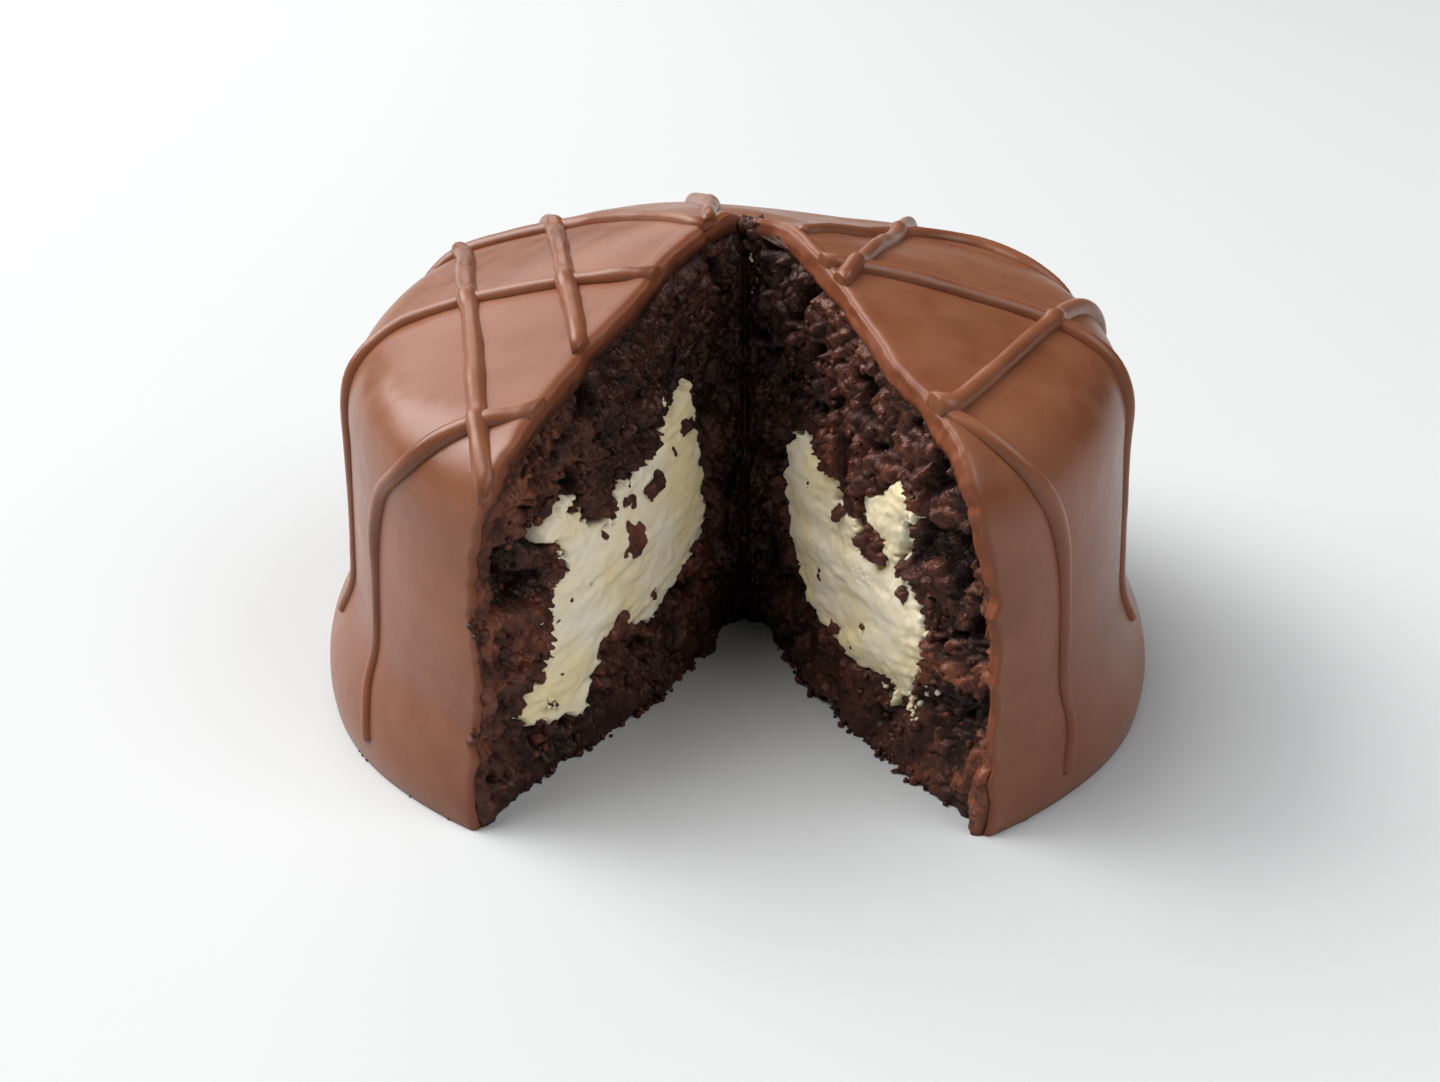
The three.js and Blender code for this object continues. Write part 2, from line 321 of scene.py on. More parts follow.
def behind_cuts(x, y):
    """Distance of a plan point behind the plane of the right and of the left cut, negative inside
    the opening."""
    return [side * ((x - CUT_TIP[0]) * math.cos(bearing) + (y - CUT_TIP[1]) * math.sin(bearing))
            for side, bearing in ((1, BEARINGS[1]), (-1, BEARINGS[-1]))]


# ---------- drizzled lines ----------

LINE_WIDTH = 0.84   # half the width of a line where it meets the coat
LINE_HEIGHT = 0.82
LINE_SUNK = 0.45
LINE_STEP = 0.16
LINE_KEEP = 4       # of the fine steps along a line, every fourth gets a section
LINES_APART = 7.3   # in the noise, so that each line wavers in its own way
SECTION = np.vstack([
    np.stack([np.cos(np.linspace(0, math.pi, 11)), np.sin(np.linspace(0, math.pi, 11)) ** 1.25],
             -1),
    [(-0.92, -1.0), (0.0, -1.0), (0.92, -1.0)],
])
LINE_CAP = [(0.90, 0.20), (0.64, 0.42), (0.30, 0.56), (0.0, 0.60)]  # size and way past the end
CUT_CAP = [(0.80, 0.06), (0.45, 0.10), (0.0, 0.12)]                 # the same where it is cut
MITRE = 1.5         # how far the cut may run along a line that it meets at a slant

# Each line is drawn on the coat laid out flat: the distance from the middle is the arc, so a
# line over the edge runs straight outwards. Millimetres.
DRIZZLE_LINES = [
    # left of the opening, running outwards
    [(1, -5), (-2.9, -1.8), (-6.1, 1.7), (-10.2, 7), (-15.5, 12), (-22, 15), (-30, 16), (-42, 17),
     (-52, 20)],
    [(-3.5, -9.5), (-7.1, -8.5), (-11.4, -7.5), (-16, -6.1), (-20.3, -5), (-24.6, -3.9),
     (-29.8, -3.9), (-33.6, -5.5), (-37.5, -6.5), (-42.8, -8.5), (-50.5, -11.1), (-58, -12)],
    [(-12, -23.2), (-15.6, -23.6), (-20.8, -23.9), (-28.1, -24.2), (-33.5, -23.3), (-38.8, -23.6),
     (-44.1, -25.8), (-49.8, -29.6), (-51.5, -34.5),
     (-52.6, -37.0)],
    # left of the opening, running back
    [(-20.2, -36), (-20.1, -30.4), (-20.6, -24), (-22.1, -15.1), (-23.9, -5.7), (-25.6, 3),
     (-28, 15), (-33, 27), (-42, 38)],
    [(-11.4, -22), (-12.7, -17.4), (-13.7, -12.2), (-15.1, -5.1), (-17.1, 7.2), (-19.6, 22),
     (-25, 38), (-31, 50)],
    [(-2.3, -6), (-2.5, -2), (-2.8, 13), (-5, 32), (-6.5, 50)],
    # right of the opening, running outwards
    [(2.5, -6), (5.5, -1.2), (9.6, 5.2), (14, 11), (19, 15), (24.5, 16), (30, 13.2), (37, 12),
     (47, 14), (56, 17)],
    [(4, -7), (7.7, -6.4), (15.8, -5.1), (23.6, -5.1), (28.1, -5.7), (32.3, -7.4), (36.5, -8.5),
     (41, -10), (48, -12.5), (57.5, -15)],
    [(13, -21.5), (15.7, -22.9), (17.2, -24.4), (20.8, -26.3), (24.5, -27.4), (28.9, -28.4),
     (32.7, -30), (37.3, -33.4), (43.3, -39.4), (44.6, -43.6),
     (45.2, -46.0)],
    # right of the opening, running back
    [(7, -13.5), (9, -8.4), (10.7, -4.4), (12.8, 1.9), (15.5, 12), (18.5, 26), (23, 40), (27, 48)],
    [(13.5, -28), (16.1, -23.7), (17.4, -22.5), (22.1, -15.7), (28.1, -5.7), (34, 3.5), (41, 8),
     (50, 11)],
    # across the rear
    [(-42, 44), (-30, 38), (-12, 34), (6, 36), (24, 34), (36, 36), (44, 42)],
]


def smooth_line(points, step):
    """A line through the points, cut into pieces of about one step: on each stretch the cubic
    whose end slopes are half the way between the neighbouring points."""
    points = np.array(points, float)
    ends = np.vstack([2 * points[0] - points[1], points, 2 * points[-1] - points[-2]])
    parts = []
    for a, b, c, d in zip(ends[:-3], ends[1:-2], ends[2:-1], ends[3:]):
        count = max(2, int(np.linalg.norm(c - b) / step))
        s = np.linspace(0, 1, count, endpoint=False)[:, None]
        parts.append(0.5 * (2 * b + (c - a) * s + (2 * a - 5 * b + 4 * c - d) * s ** 2
                            + (3 * b - a - 3 * c + d) * s ** 3))
    return np.vstack(parts + [points[-1:]])


def line_on_coat(flat, number):
    """One drizzled line as fine points with their arcs. It wavers a little, and only its longest
    stretch outside the opening's broken edge is kept."""
    line = smooth_line(flat, LINE_STEP)
    along = flat_point(np.arange(len(line)) * LINE_STEP, LINES_APART * number)
    line = line + 0.22 * np.stack([lumps(along, 8.0, 44), lumps(along, 8.0, 45)], -1)
    arc = np.hypot(line[:, 0], line[:, 1])
    radius, _ = outline_at(arc, 0.0)
    x = line[:, 0] / arc * radius * SIDE_SCALE
    y = line[:, 1] / arc * radius
    right, left = behind_cuts(x, y)
    outside = np.maximum(right + lip_jag(1, arc), left + lip_jag(-1, arc)) > 0.75
    outside &= arc < FOOT_ARC - 2.5
    turns = np.flatnonzero(np.diff(np.concatenate([[0], outside.astype(int), [0]])))
    starts, ends = turns[::2], turns[1::2]
    longest = np.argmax(ends - starts)
    kept = slice(starts[longest], ends[longest])
    return x[kept], y[kept], arc[kept]


def mitred(ring, way, arc):
    """A line's last section, slid along its way up to the coat's broken edge: each point goes on
    by its distance behind the cut, over the share of the way that runs at the cut."""
    behind = np.stack(behind_cuts(ring[:, 0], ring[:, 1]), -1)
    ahead = np.stack(behind_cuts(ring[:, 0] + way[0], ring[:, 1] + way[1]), -1)
    cut = int(np.argmax(behind.mean(axis=0)))
    pace = np.maximum((behind - ahead)[:, cut], 0.2)
    slide = (behind[:, cut] + lip_jag(-1 if cut else 1, np.array([arc]))) / pace
    return ring + way * np.clip(slide, 0.0, MITRE)[:, None]


def coat_surface(x, y, arc, inset):
    """Points on the swollen, sagged coat, or above it where the inset is negative."""
    placed = coat_point(x, y, arc, inset - coat_swell(coat_point(x, y, arc, 0.0), arc))
    placed[..., 2] -= tip_sag(placed[..., 0], placed[..., 1])
    return placed


def drizzled_lines():
    """Closed ridges sunk into the coat. Sections stand across a line's way and the coat's normal.
    Width and height waver and shrink down the wall. Ends are rounded on the wall and flat at the
    opening. Where a line crosses an earlier one it climbs over it and swells."""
    points, faces, earlier = [], [], np.zeros((0, 3))
    count = 0
    for number, flat in enumerate(DRIZZLE_LINES):
        x, y, arc = (part[::LINE_KEEP] for part in line_on_coat(flat, number))
        base = coat_surface(x, y, arc, 0.0)
        normal = coat_surface(x, y, arc, -1.0) - base
        way = np.gradient(base, axis=0)
        way /= np.linalg.norm(way, axis=1)[:, None]
        across = np.cross(way, normal)
        across /= np.linalg.norm(across, axis=1)[:, None]
        normal = np.cross(across, way)
        over = np.zeros(len(base))
        if len(earlier):
            away = np.linalg.norm(base[:, None] - earlier[None], axis=2).min(axis=1)
            over = np.exp(-(away / 1.1) ** 2)
        along = flat_point(np.arange(len(base)) * LINE_STEP * LINE_KEEP, LINES_APART * number)
        size = 1 + 0.13 * lumps(along, 7.0, 40) + 0.06 * lumps(along, 2.4, 41)
        size = size * (1 - 0.28 * smooth(36, 54, arc)) * (1 + 0.12 * over)
        size = size * (1 - 0.25 * smooth(14, 6, arc))
        width = LINE_WIDTH * size
        height = LINE_HEIGHT * size * (1 - 0.2 * smooth(34, 50, arc))
        height = height * (1 - 0.35 * smooth(2.5, 0.5, np.max(behind_cuts(x, y), axis=0)))
        up = SECTION[None, :, 1:]
        lift = np.where(up > 0, up * height[:, None, None] + 0.42 * over[:, None, None],
                        up * LINE_SUNK)
        rings = list(base[:, None] + across[:, None] * SECTION[None, :, :1]
                     * width[:, None, None] + normal[:, None] * lift)
        for end, sign in ((0, -1), (-1, 1)):
            cap = LINE_CAP
            if max(behind_cuts(x[end], y[end])) < MITRE + 0.5:
                rings[end] = mitred(rings[end], way[end] * sign, arc[end])
                cap = CUT_CAP
            middle = rings[end].mean(axis=0)
            caps = [middle + (rings[end] - middle) * shrink
                    + way[end] * sign * past * width[end] for shrink, past in cap]
            rings = caps[::-1] + rings if sign < 0 else rings + caps
        index = numbered(count, (len(rings), len(SECTION)))
        faces += [grid_faces(index), grid_faces(index[:, [-1, 0]])]
        points.append(np.array(rings).reshape(-1, 3))
        count += index.size
        earlier = np.vstack([earlier, base])
    return np.vstack(points), faces


# ---------- coat ----------

COAT_ROWS_DOME = 92
COAT_ROWS_EDGE = 136
COAT_COLUMNS = 318
COAT_INNER_COLUMNS = 72
COAT_INNER_ROWS = 34
LIP_ROWS = 5
EDGE_BLEND = 3.2      # the coat follows its broken edge up to this far behind a cut
INNER_SET_BACK = 0.7  # and its inside ends this far behind that edge
TIP_HOLE = 1.1        # the coat ends this far from the cut's tip, and crumb fills the rest

# How far the coat's edge stands into the opening along each cut: arc from the peak, distance
EDGE = {
    -1: np.array([
        (0, 0.2), (4, 0.25), (10, -0.6), (13, 0.1), (22, 0.1), (28, 0.5), (32, 1.05),
        (36, 0.75), (39, 0.15), (42, -0.65), (45.6, -1.15), (48.3, -0.9), (51.6, -0.45),
        (55.7, -0.8), (58.5, -0.7), (61, -0.2), (67, 0.1),
    ]),
    1: np.array([
        (0, -1.5), (5.4, -1.6), (11.6, -1.0), (17.7, -0.4), (23.4, 0.25), (26.8, -0.3),
        (30.5, 0.15), (35.4, 0.7), (38.8, 0.0), (42.9, -1.05), (48, -1.4), (54, -1.6),
        (58.2, -1.1), (62, -0.3), (67, 0.1),
    ]),
}

# Places where the edge is broken back: arc from the peak, depth and half length
CHIPS = {-1: [(50.6, 0.35, 0.7), (58.6, 0.4, 0.7), (30.0, 0.2, 1.0), (21.0, 0.2, 0.9)],
         1: [(44.8, 0.3, 0.9), (50.4, 0.4, 1.2), (55.5, 0.35, 0.9), (60.2, 0.25, 0.8)]}

# How much of the broken edge's band shows beside the crumb: arc from the peak, share
BAND = {-1: np.array([(0, 0.7), (26, 0.6), (33, 0.4), (40, 0.12), (67, 0.0)]),
        1: np.array([(0, 1.0), (34, 1.0), (40, 0.55), (46, 0.1), (67, 0.0)])}


def round_back(share):
    """Bearing at a share of the way from the right cut round the back to the left one."""
    return BEARINGS[1] + BEHIND * share


def coat_bearings(count):
    """Bearings round the back, in steps that grow from a sixth at both cuts to an even size."""
    place = np.arange(count - 1)
    step = np.minimum(1.0, 0.16 * 1.22 ** np.minimum(place, place[::-1]))
    return round_back(running(step) / step.sum())


def coat_places(bearing, share):
    """Plan point and arc for a share from 0 at the tip to 1 at the foot. On the dome the way out
    grows evenly, and further out the arc does. Round the tip the way out is the root of its square
    and the hole's, so the coat keeps clear."""
    dome_share = COAT_ROWS_DOME / (COAT_ROWS_DOME + COAT_ROWS_EDGE)
    on_dome = share < dome_share
    ragged = TIP_HOLE * (1 + 0.25 * lumps(flat_point(bearing * 1.4), 1.0, 95))
    dome_reach = reach(bearing, DOME_RADIUS)
    dome_out = dome_reach * share / dome_share
    dome_out = np.sqrt(dome_out ** 2 + (ragged * (1 - share / dome_share)) ** 2)
    arc = DOME_ARC + (FOOT_ARC - DOME_ARC) * np.clip((share - dome_share) / (1 - dome_share), 0, 1)
    radius, _ = outline_at(arc, 0.0)
    out = np.where(on_dome, dome_out, reach(bearing, np.maximum(radius, DOME_RADIUS)))
    x, y = around_tip(bearing, out)
    dome_arc = np.interp(np.hypot(x / SIDE_SCALE, y), OUTLINE[:, 0], OUTLINE_ARC)
    return x, y, np.where(on_dome, dome_arc, arc)


def turned_places(bearing, share, set_back):
    """Coat places whose bearings near a cut are turned by the broken edge's stand, less a set
    back, over the way out. Also how far each lay behind the nearer cut."""
    x, y, arc = coat_places(bearing, share)
    out = np.hypot(x - CUT_TIP[0], y - CUT_TIP[1])
    gaps = {1: (bearing - BEARINGS[1]) * out,
            -1: (2 * math.pi + BEARINGS[-1] - bearing) * out}
    turn = sum(side * (lip_jag(side, arc) - set_back) * smooth(EDGE_BLEND, 0.0, gap)
               for side, gap in gaps.items())
    turn = turn / np.maximum(out, 2.5) * smooth(1.0, 4.0, out)
    return coat_places(bearing - turn, share), np.minimum(gaps[1], gaps[-1])


def edge_stand(side, arc):
    """The smooth part of how far the coat's edge stands into the opening."""
    return np.interp(arc, *EDGE[side].T)


def lip_jag(side, arc):
    """How far the coat's broken edge stands into the opening: its own line, waves, teeth that come
    in patches, and the places where it is broken back."""
    seed = 70 if side < 0 else 60
    along = flat_point(arc)
    teeth = lumps(along, 1.2, seed + 2)
    patch = 0.35 + 1.1 * smooth(-0.5, 0.6, lumps(along, 4.5, seed + 4))
    jag = (edge_stand(side, arc) + 0.16 * lumps(along, 2.6, seed + 1)
           + 0.30 * patch * teeth * np.abs(teeth) + 0.07 * patch * lumps(along, 0.55, seed + 3))
    for centre, depth, half in CHIPS[side]:
        jag = jag - depth * np.exp(-((arc - centre) / half) ** 2)
    return jag


def band_share(side, arc):
    """How much of the broken edge's band shows beside the crumb."""
    return np.interp(arc, *BAND[side].T)


def lip_strip(outer_edge, x, y, arc, side):
    """Rows of points across the broken edge, each an equal share deeper, with the middle bulging
    roughly into the opening."""
    seed = 90 if side < 0 else 80
    away = smooth(TIP_HOLE, TIP_HOLE + 2.5, np.hypot(x - CUT_TIP[0], y - CUT_TIP[1]))
    along = flat_point(arc)
    thickness = COAT_THICKNESS * (0.5 + 0.68 * smooth(0.0, 0.5, band_share(side, arc))
                                  + 0.2 * lumps(along, 5.0, seed) * away)
    into_opening = -side * np.array([math.cos(BEARINGS[side]), math.sin(BEARINGS[side]), 0])
    inner_edge = coat_point(x, y, arc, thickness)
    inner_edge[:, 2] -= tip_sag(inner_edge[:, 0], inner_edge[:, 1])
    rows = []
    for row in range(1, LIP_ROWS + 1):
        part = row / LIP_ROWS
        rough = (0.16 * lumps(along + [0, row * 1.7, 0], 0.9, seed + 5)
                 + 0.16 * lumps(along + [0, row * 1.1, 0], 2.7, seed + 6))
        bulge = (0.08 * math.sin(math.pi * part) + rough * math.sin(math.pi * part * 0.85)) * away
        rows.append(outer_edge * (1 - part) + inner_edge * part + into_opening * bulge[:, None])
    return np.array(rows)


def make_coat(material):
    """A closed shell: an outer grid over bearing and share, a coarser inner one, a broken lip
    along both cuts and round the tip, a flat rim at the foot, and the drizzled lines."""
    rows = COAT_ROWS_DOME + COAT_ROWS_EDGE
    share, bearing = np.meshgrid(np.linspace(0, 1, rows), coat_bearings(COAT_COLUMNS),
                                 indexing="ij")
    (x, y, arc), gap = turned_places(bearing, share, 0.0)
    # At a cut the surface is rounded off, and on the dome it has a low rim behind that.
    rim = 0.12 * smooth(2.4, 0.8, gap) * smooth(0.0, 0.6, gap) * smooth(40, 30, arc)
    outer = coat_surface(x, y, arc, 0.14 * smooth(0.4, 0.0, gap) - rim)

    share, bearing = np.meshgrid(np.linspace(0, 1, COAT_INNER_ROWS),
                                 coat_bearings(COAT_INNER_COLUMNS), indexing="ij")
    inner = coat_point(*turned_places(bearing, share, INNER_SET_BACK)[0], COAT_THICKNESS)
    inner[..., 2] -= tip_sag(inner[..., 0], inner[..., 1])

    outer_index = numbered(0, gap.shape)
    points = [outer.reshape(-1, 3)]
    faces = [grid_faces(outer_index)]
    broken = [smooth(0.45, 0.0, gap).ravel() * 0.7]
    left_lip_painted_shade = [np.zeros(gap.size)]
    count = gap.size
    chains = []
    for side, column in ((1, 0), (-1, -1)):
        strip = lip_strip(outer[:, column], x[:, column], y[:, column], arc[:, column], side)
        chain = np.vstack([outer_index[:, column], numbered(count, (LIP_ROWS, rows))])
        points.append(strip.reshape(-1, 3))
        broken.append(np.ones(LIP_ROWS * rows))
        # Painted shade: the left lip faces away from the light, so its deeper rows are darkened.
        left_lip_painted_shade.append(np.repeat(smooth(0.5, 2.5, np.arange(LIP_ROWS)) * (side < 0), rows))
        count += LIP_ROWS * rows
        faces.append(grid_faces(chain))
        chains.append(chain)
    inner_index = numbered(count, share.shape)
    lines, line_faces = drizzled_lines()
    plain = np.zeros(share.size + len(lines))
    faces += [grid_faces(inner_index), zipped_faces(chains[0][-1], inner_index[:, 0]),
              zipped_faces(chains[1][-1], inner_index[:, -1])]
    for end in (0, -1):
        rim = np.concatenate([chains[0][::-1, end], outer_index[end, 1:-1], chains[1][:, end]])
        faces.append(zipped_faces(rim, inner_index[end]))
    faces += [block + count + share.size for block in line_faces]
    return mesh_object("coat_shell", np.vstack(points + [inner.reshape(-1, 3), lines]), faces,
                       material, {"broken": np.concatenate(broken + [plain]),
                                  "left_lip_painted_shade": np.concatenate(left_lip_painted_shade + [plain])})


# ---------- cut faces ----------

FACE_COLUMNS = 205
FACE_ROWS = 205
SWEEP_COLUMNS = 25
SWEEP_ROWS = 30
BASE_INSET = 4.0   # a coarse row this far behind the faces' foot leads to the base
# How deep under the coat's outside the faces end: arc from the peak, depth
TUCK = np.array([(0, 1.6), (5, 1.3), (9, 1.0), (30, 1.0), (42, 0.55)])
SWEEP_INSET = 1.8

# Crumbs that stick in the cream: across, up and half width
STUCK_CRUMBS = [
    (-9.5, 24.3, 0.8), (-14.3, 20.9, 0.85), (-15.4, 20.5, 0.7), (-18.3, 17.6, 1.6),
    (-11.4, 23.0, 0.5), (-23.7, 17.3, 0.4), (-24.0, 16.2, 0.35), (-22.0, 19.4, 0.55),
    (-18.3, 21.2, 0.6), (-15.4, 10.4, 0.45), (-26.7, 16.0, 0.3), (-28.4, 14.5, 0.35),
    (-20.6, 9.6, 1.2), (-30.1, 7.3, 0.6), (-17.7, 22.8, 0.3), (-28.6, 9.2, 0.3),
    (13.8, 12.4, 0.4), (14.0, 11.4, 0.4), (17.2, 8.2, 0.75), (19.9, 7.8, 0.55),
    (21.5, 10.4, 0.45), (13.0, 22.2, 0.35), (11.1, 20.0, 0.25), (22.6, 18.6, 0.9),
    (23.6, 8.0, 0.3), (26.4, 16.6, 0.4), (16.4, 19.6, 0.8),
]


# Outlines of the cream where it shows on each face, as distance out from the tip and height
CREAM = {
    -1: np.array([
        (8.1, 27.9), (9.7, 27.4), (10.7, 25.9), (13.6, 25.8), (13.9, 23.8), (16.9, 24.0),
        (17.4, 23.0), (19.9, 22.2), (20.5, 20.3), (23.3, 21.0), (24.5, 22.2), (25.7, 24.2),
        (27.7, 23.9), (29.5, 22.4), (27.8, 20.3), (26.7, 18.5), (28.5, 17.6), (29.3, 16.1),
        (29.3, 14.2), (30.4, 12.8), (31.1, 10.0), (33.4, 9.6), (33.6, 7.7), (32.4, 6.0),
        (28.9, 4.9), (26.2, 3.6), (25.5, 5.6), (23.5, 7.2), (23.4, 9.6), (20.8, 9.4),
        (17.8, 8.3), (14.7, 7.7), (10.2, 11.1), (6.8, 12.6), (6.4, 15.9), (7.2, 21.0),
    ]),
    1: np.array([
        (7.2, 22.4), (9.5, 24.3), (12.3, 23.9), (13.5, 22.9), (15.3, 21.7), (14.8, 19.9),
        (16.5, 20.0), (18.4, 19.7), (19.9, 19.6), (19.7, 17.1), (21.5, 16.9), (23.4, 17.6),
        (23.3, 20.2), (20.8, 21.1), (20.0, 22.3), (22.9, 24.1), (24.2, 26.2), (26.6, 25.9),
        (27.7, 24.1), (25.5, 22.2), (25.6, 20.4), (25.4, 18.3), (27.6, 17.6), (28.2, 16.4),
        (29.3, 15.0), (29.4, 12.4), (28.6, 9.8), (27.3, 6.8), (26.3, 4.6), (25.1, 6.6),
        (23.0, 6.4), (20.3, 5.9), (16.8, 7.0), (12.0, 8.3), (9.1, 11.1), (7.4, 14.5),
        (6.7, 18.2),
    ]),
}


def by_side(across, function, arc):
    """A function of side and arc, for the cut face that each point lies on."""
    return np.where(across < 0, function(-1, arc), function(1, arc))


def outline_gap(u, v, corners, closed=True):
    """Distance to an outline: the least to its segments, negative inside a closed one, where a ray
    to the right crosses it an odd number of times. Also the place along it, in segments."""
    best, place = np.full(u.shape, 1e9), np.zeros(u.shape)
    inside = np.zeros(u.shape, bool)
    following = np.roll(corners, -1, axis=0)
    for index in range(len(corners) if closed else len(corners) - 1):
        (u0, v0), (u1, v1) = corners[index], following[index]
        share = ((u - u0) * (u1 - u0) + (v - v0) * (v1 - v0)) / ((u1 - u0) ** 2 + (v1 - v0) ** 2)
        share = np.clip(share, 0, 1)
        gap = np.hypot(u - u0 - share * (u1 - u0), v - v0 - share * (v1 - v0))
        place = np.where(gap < best, index + share, place)
        best = np.minimum(best, gap)
        if closed and v0 != v1:
            crosses = (v0 > v) != (v1 > v)
            inside ^= crosses & (u < u0 + (v - v0) * (u1 - u0) / (v1 - v0))
    return np.where(inside, -best, best), place


def face_edge(side, arc, inset):
    """Distance out and height where a cut face meets the coat, at an arc and inset. Near the foot
    the height is drawn down to the floor."""
    radius, height = outline_at(arc, inset)
    out = reach(BEARINGS[side], radius)
    x, y = around_tip(BEARINGS[side], out)
    height = settled(x, y, height) - tip_sag(x, y)
    return out, height - FOOT[1] * smooth(4.0, 0.5, height)


def dome_border(side, count, tuck):
    """A cut face's upper border in even steps out from the tip: distance out, height and arc. The
    height is the inset outline's at the same distance from the axis."""
    arc = np.linspace(0, SHOULDER_ARC, 400)
    radius, height = outline_at(arc, np.interp(arc, *tuck.T))
    out = np.linspace(0, reach(BEARINGS[side], radius[-1]), count)
    x, y = around_tip(BEARINGS[side], out)
    from_axis = np.hypot(x / SIDE_SCALE, y)
    up = settled(x, y, np.interp(from_axis, radius, height)) - tip_sag(x, y)
    return out, up, np.interp(from_axis, radius, arc)


def wall_border(side, arc, tuck):
    """A cut face's outer border below the shoulder: distance out, height and arc."""
    return *face_edge(side, arc, np.interp(arc, *tuck.T)), arc


def face_grid(side):
    """Distance out and height over a cut face, between the line under the tip, the base and the
    coat's inside: the sum of the two ways across, less the blend of the corners."""
    across = np.linspace(0, 1, FACE_COLUMNS)[None, :, None]
    up = np.linspace(0, 1, FACE_ROWS)[:, None, None]
    top = np.stack(dome_border(side, FACE_COLUMNS, TUCK)[:2], -1)[None]
    arc = np.linspace(FOOT_ARC, SHOULDER_ARC, FACE_ROWS)
    wall = np.stack(wall_border(side, arc, TUCK)[:2], -1)[:, None]
    wall[0, 0, 1] = 0
    grid = ((1 - up) * (across * wall[:1]) + up * top + (1 - across) * (up * top[:, :1])
            + across * wall - across * (1 - up) * wall[:1] - (1 - across) * up * top[:, :1]
            - across * up * top[:, -1:])
    return grid[..., 0], grid[..., 1]


def place_on_faces(across, up, rise):
    """A point at a height above the plane of its cut face. Near the tip the way up turns to
    straight out of the opening, so that the faces meet in one valley."""
    across, up, rise = np.broadcast_arrays(across, up, rise)
    side = np.where(across < 0, -1.0, 1.0)
    bearing = np.where(across < 0, BEARINGS[-1], BEARINGS[1])
    middle = (BEARINGS[-1] + BEARINGS[1]) / 2
    x, y = around_tip(bearing, np.abs(across))
    own = smooth(0.0, 5.0, np.abs(across))
    way_x = -side * np.cos(bearing) * own + math.sin(middle) * (1 - own)
    way_y = -side * np.sin(bearing) * own - math.cos(middle) * (1 - own)
    length = np.hypot(way_x, way_y)
    return np.stack([x + way_x / length * rise, y + way_y / length * rise, up], -1)


def cream_gap(across, up):
    """Signed distance to the cream's edge, torn by noise. The finest noise is dragged along the
    cut, so the edge feathers out in streaks."""
    flat = flat_point(across, up)
    dragged = flat_point(across * 0.5 + up * 0.35, up * 1.5 - across * 0.5)
    u = np.abs(across) + 0.25 * lumps(flat, 3.0, 400) + 0.30 * lumps(flat, 1.1, 401)
    v = up + 0.25 * lumps(flat, 3.0, 402) + 0.30 * lumps(flat, 1.1, 403)
    gap = np.where(across < 0, outline_gap(u, v, CREAM[-1])[0], outline_gap(u, v, CREAM[1])[0])
    return gap + 0.42 * lumps(dragged, 0.8, 404) + 0.34 * lumps(flat, 0.42, 405) - 0.05


def crumb_relief(across, up):
    """Height of the torn sponge above the plane of the cut. Folds carry broken plates of three
    sizes: each cell stands at its own height, and cracks run between them. Pits are torn out, and
    near the base the crumb is denser and smoother."""
    flat = flat_point(across, up)
    warp_u = across + 1.0 * lumps(flat, 3.1, 301) + 0.45 * lumps(flat, 1.1, 311)
    warp_v = up + 1.0 * lumps(flat, 3.1, 302) + 0.45 * lumps(flat, 1.1, 312)
    rise = 0.0
    for size, plate, crack, seed in ((2.9, 0.50, 0.35, 305), (1.25, 0.44, 0.62, 306),
                                     (0.60, 0.16, 0.24, 316)):
        near, far, own = grains(warp_u, warp_v, size, seed)
        edge = far - near
        rise = rise + plate * own * smooth(0.0, 0.22, edge) + crack * np.minimum(edge, 0.5)
    pit_field = lumps(flat, 2.9, 307) + 0.55 * lumps(flat, 1.3, 308)
    rise = rise - 1.9 * smooth(0.38, 0.95, pit_field)
    dense = smooth(7.5, 2.5, up + 1.5 * lumps(flat, 4.0, 310))
    rise = rise * (1 - 0.35 * dense - 0.15 * smooth(2.0, 0.5, up)) - 0.15 * dense
    return (rise + 0.7 * lumps(flat, 9.0, 303) + 0.5 * lumps(flat, 4.2, 304)
            + 0.10 * lumps(flat, 0.45, 309) - 0.62)


def stuck_crumbs(across, up):
    """Height of the crumbs in the cream: an uneven dome round each centre."""
    flat = flat_point(across, up)
    u = across + 0.55 * lumps(flat, 1.0, 620) + 0.2 * lumps(flat, 0.4, 622)
    v = up + 0.55 * lumps(flat, 1.0, 621) + 0.2 * lumps(flat, 0.4, 623)
    total = np.full(across.shape, -9.0)
    for centre, height, half in STUCK_CRUMBS:
        away = np.hypot(u - centre, (v - height) * 0.8) / half
        total = np.maximum(total, half * (0.9 - 0.9 * away ** 1.6))
    return total


def coat_edge(side):
    """The coat's outside in the plane of a cut face: corners and their arcs."""
    outside = TUCK * [1, 0]
    dome = dome_border(side, 45, outside)
    wall = wall_border(side, np.linspace(SHOULDER_ARC, FOOT_ARC, 45)[1:], outside)
    out, up, arc = (np.concatenate(pair) for pair in zip(dome, wall))
    return np.stack([out, up], -1), arc


COAT_EDGES = {side: coat_edge(side) for side in (-1, 1)}


def coat_depth(across, up):
    """How deep under the coat's outside a point of the faces lies, and the arc there."""
    depth = np.zeros(across.shape)
    arc = np.zeros(across.shape)
    for side, (corners, arcs) in COAT_EDGES.items():
        mine = (across < 0) == (side < 0)
        gap, place = outline_gap(np.abs(across[mine]), up[mine], corners, closed=False)
        depth[mine] = gap
        arc[mine] = np.interp(place, np.arange(len(arcs)), arcs)
    return depth, arc


def edge_recess(across, up):
    """How far the food stands into the opening with the coat's edge: in full beside it, and dying
    away over some millimetres. Also the depth, the arc and the edge's own stand."""
    depth, arc = coat_depth(across, up)
    stand = by_side(across, edge_stand, arc)
    wide = smooth(9.0, 1.4, depth) * smooth(2.0, 6.0, np.abs(across))
    return np.minimum(stand, 0.1) * wide, depth, arc, stand


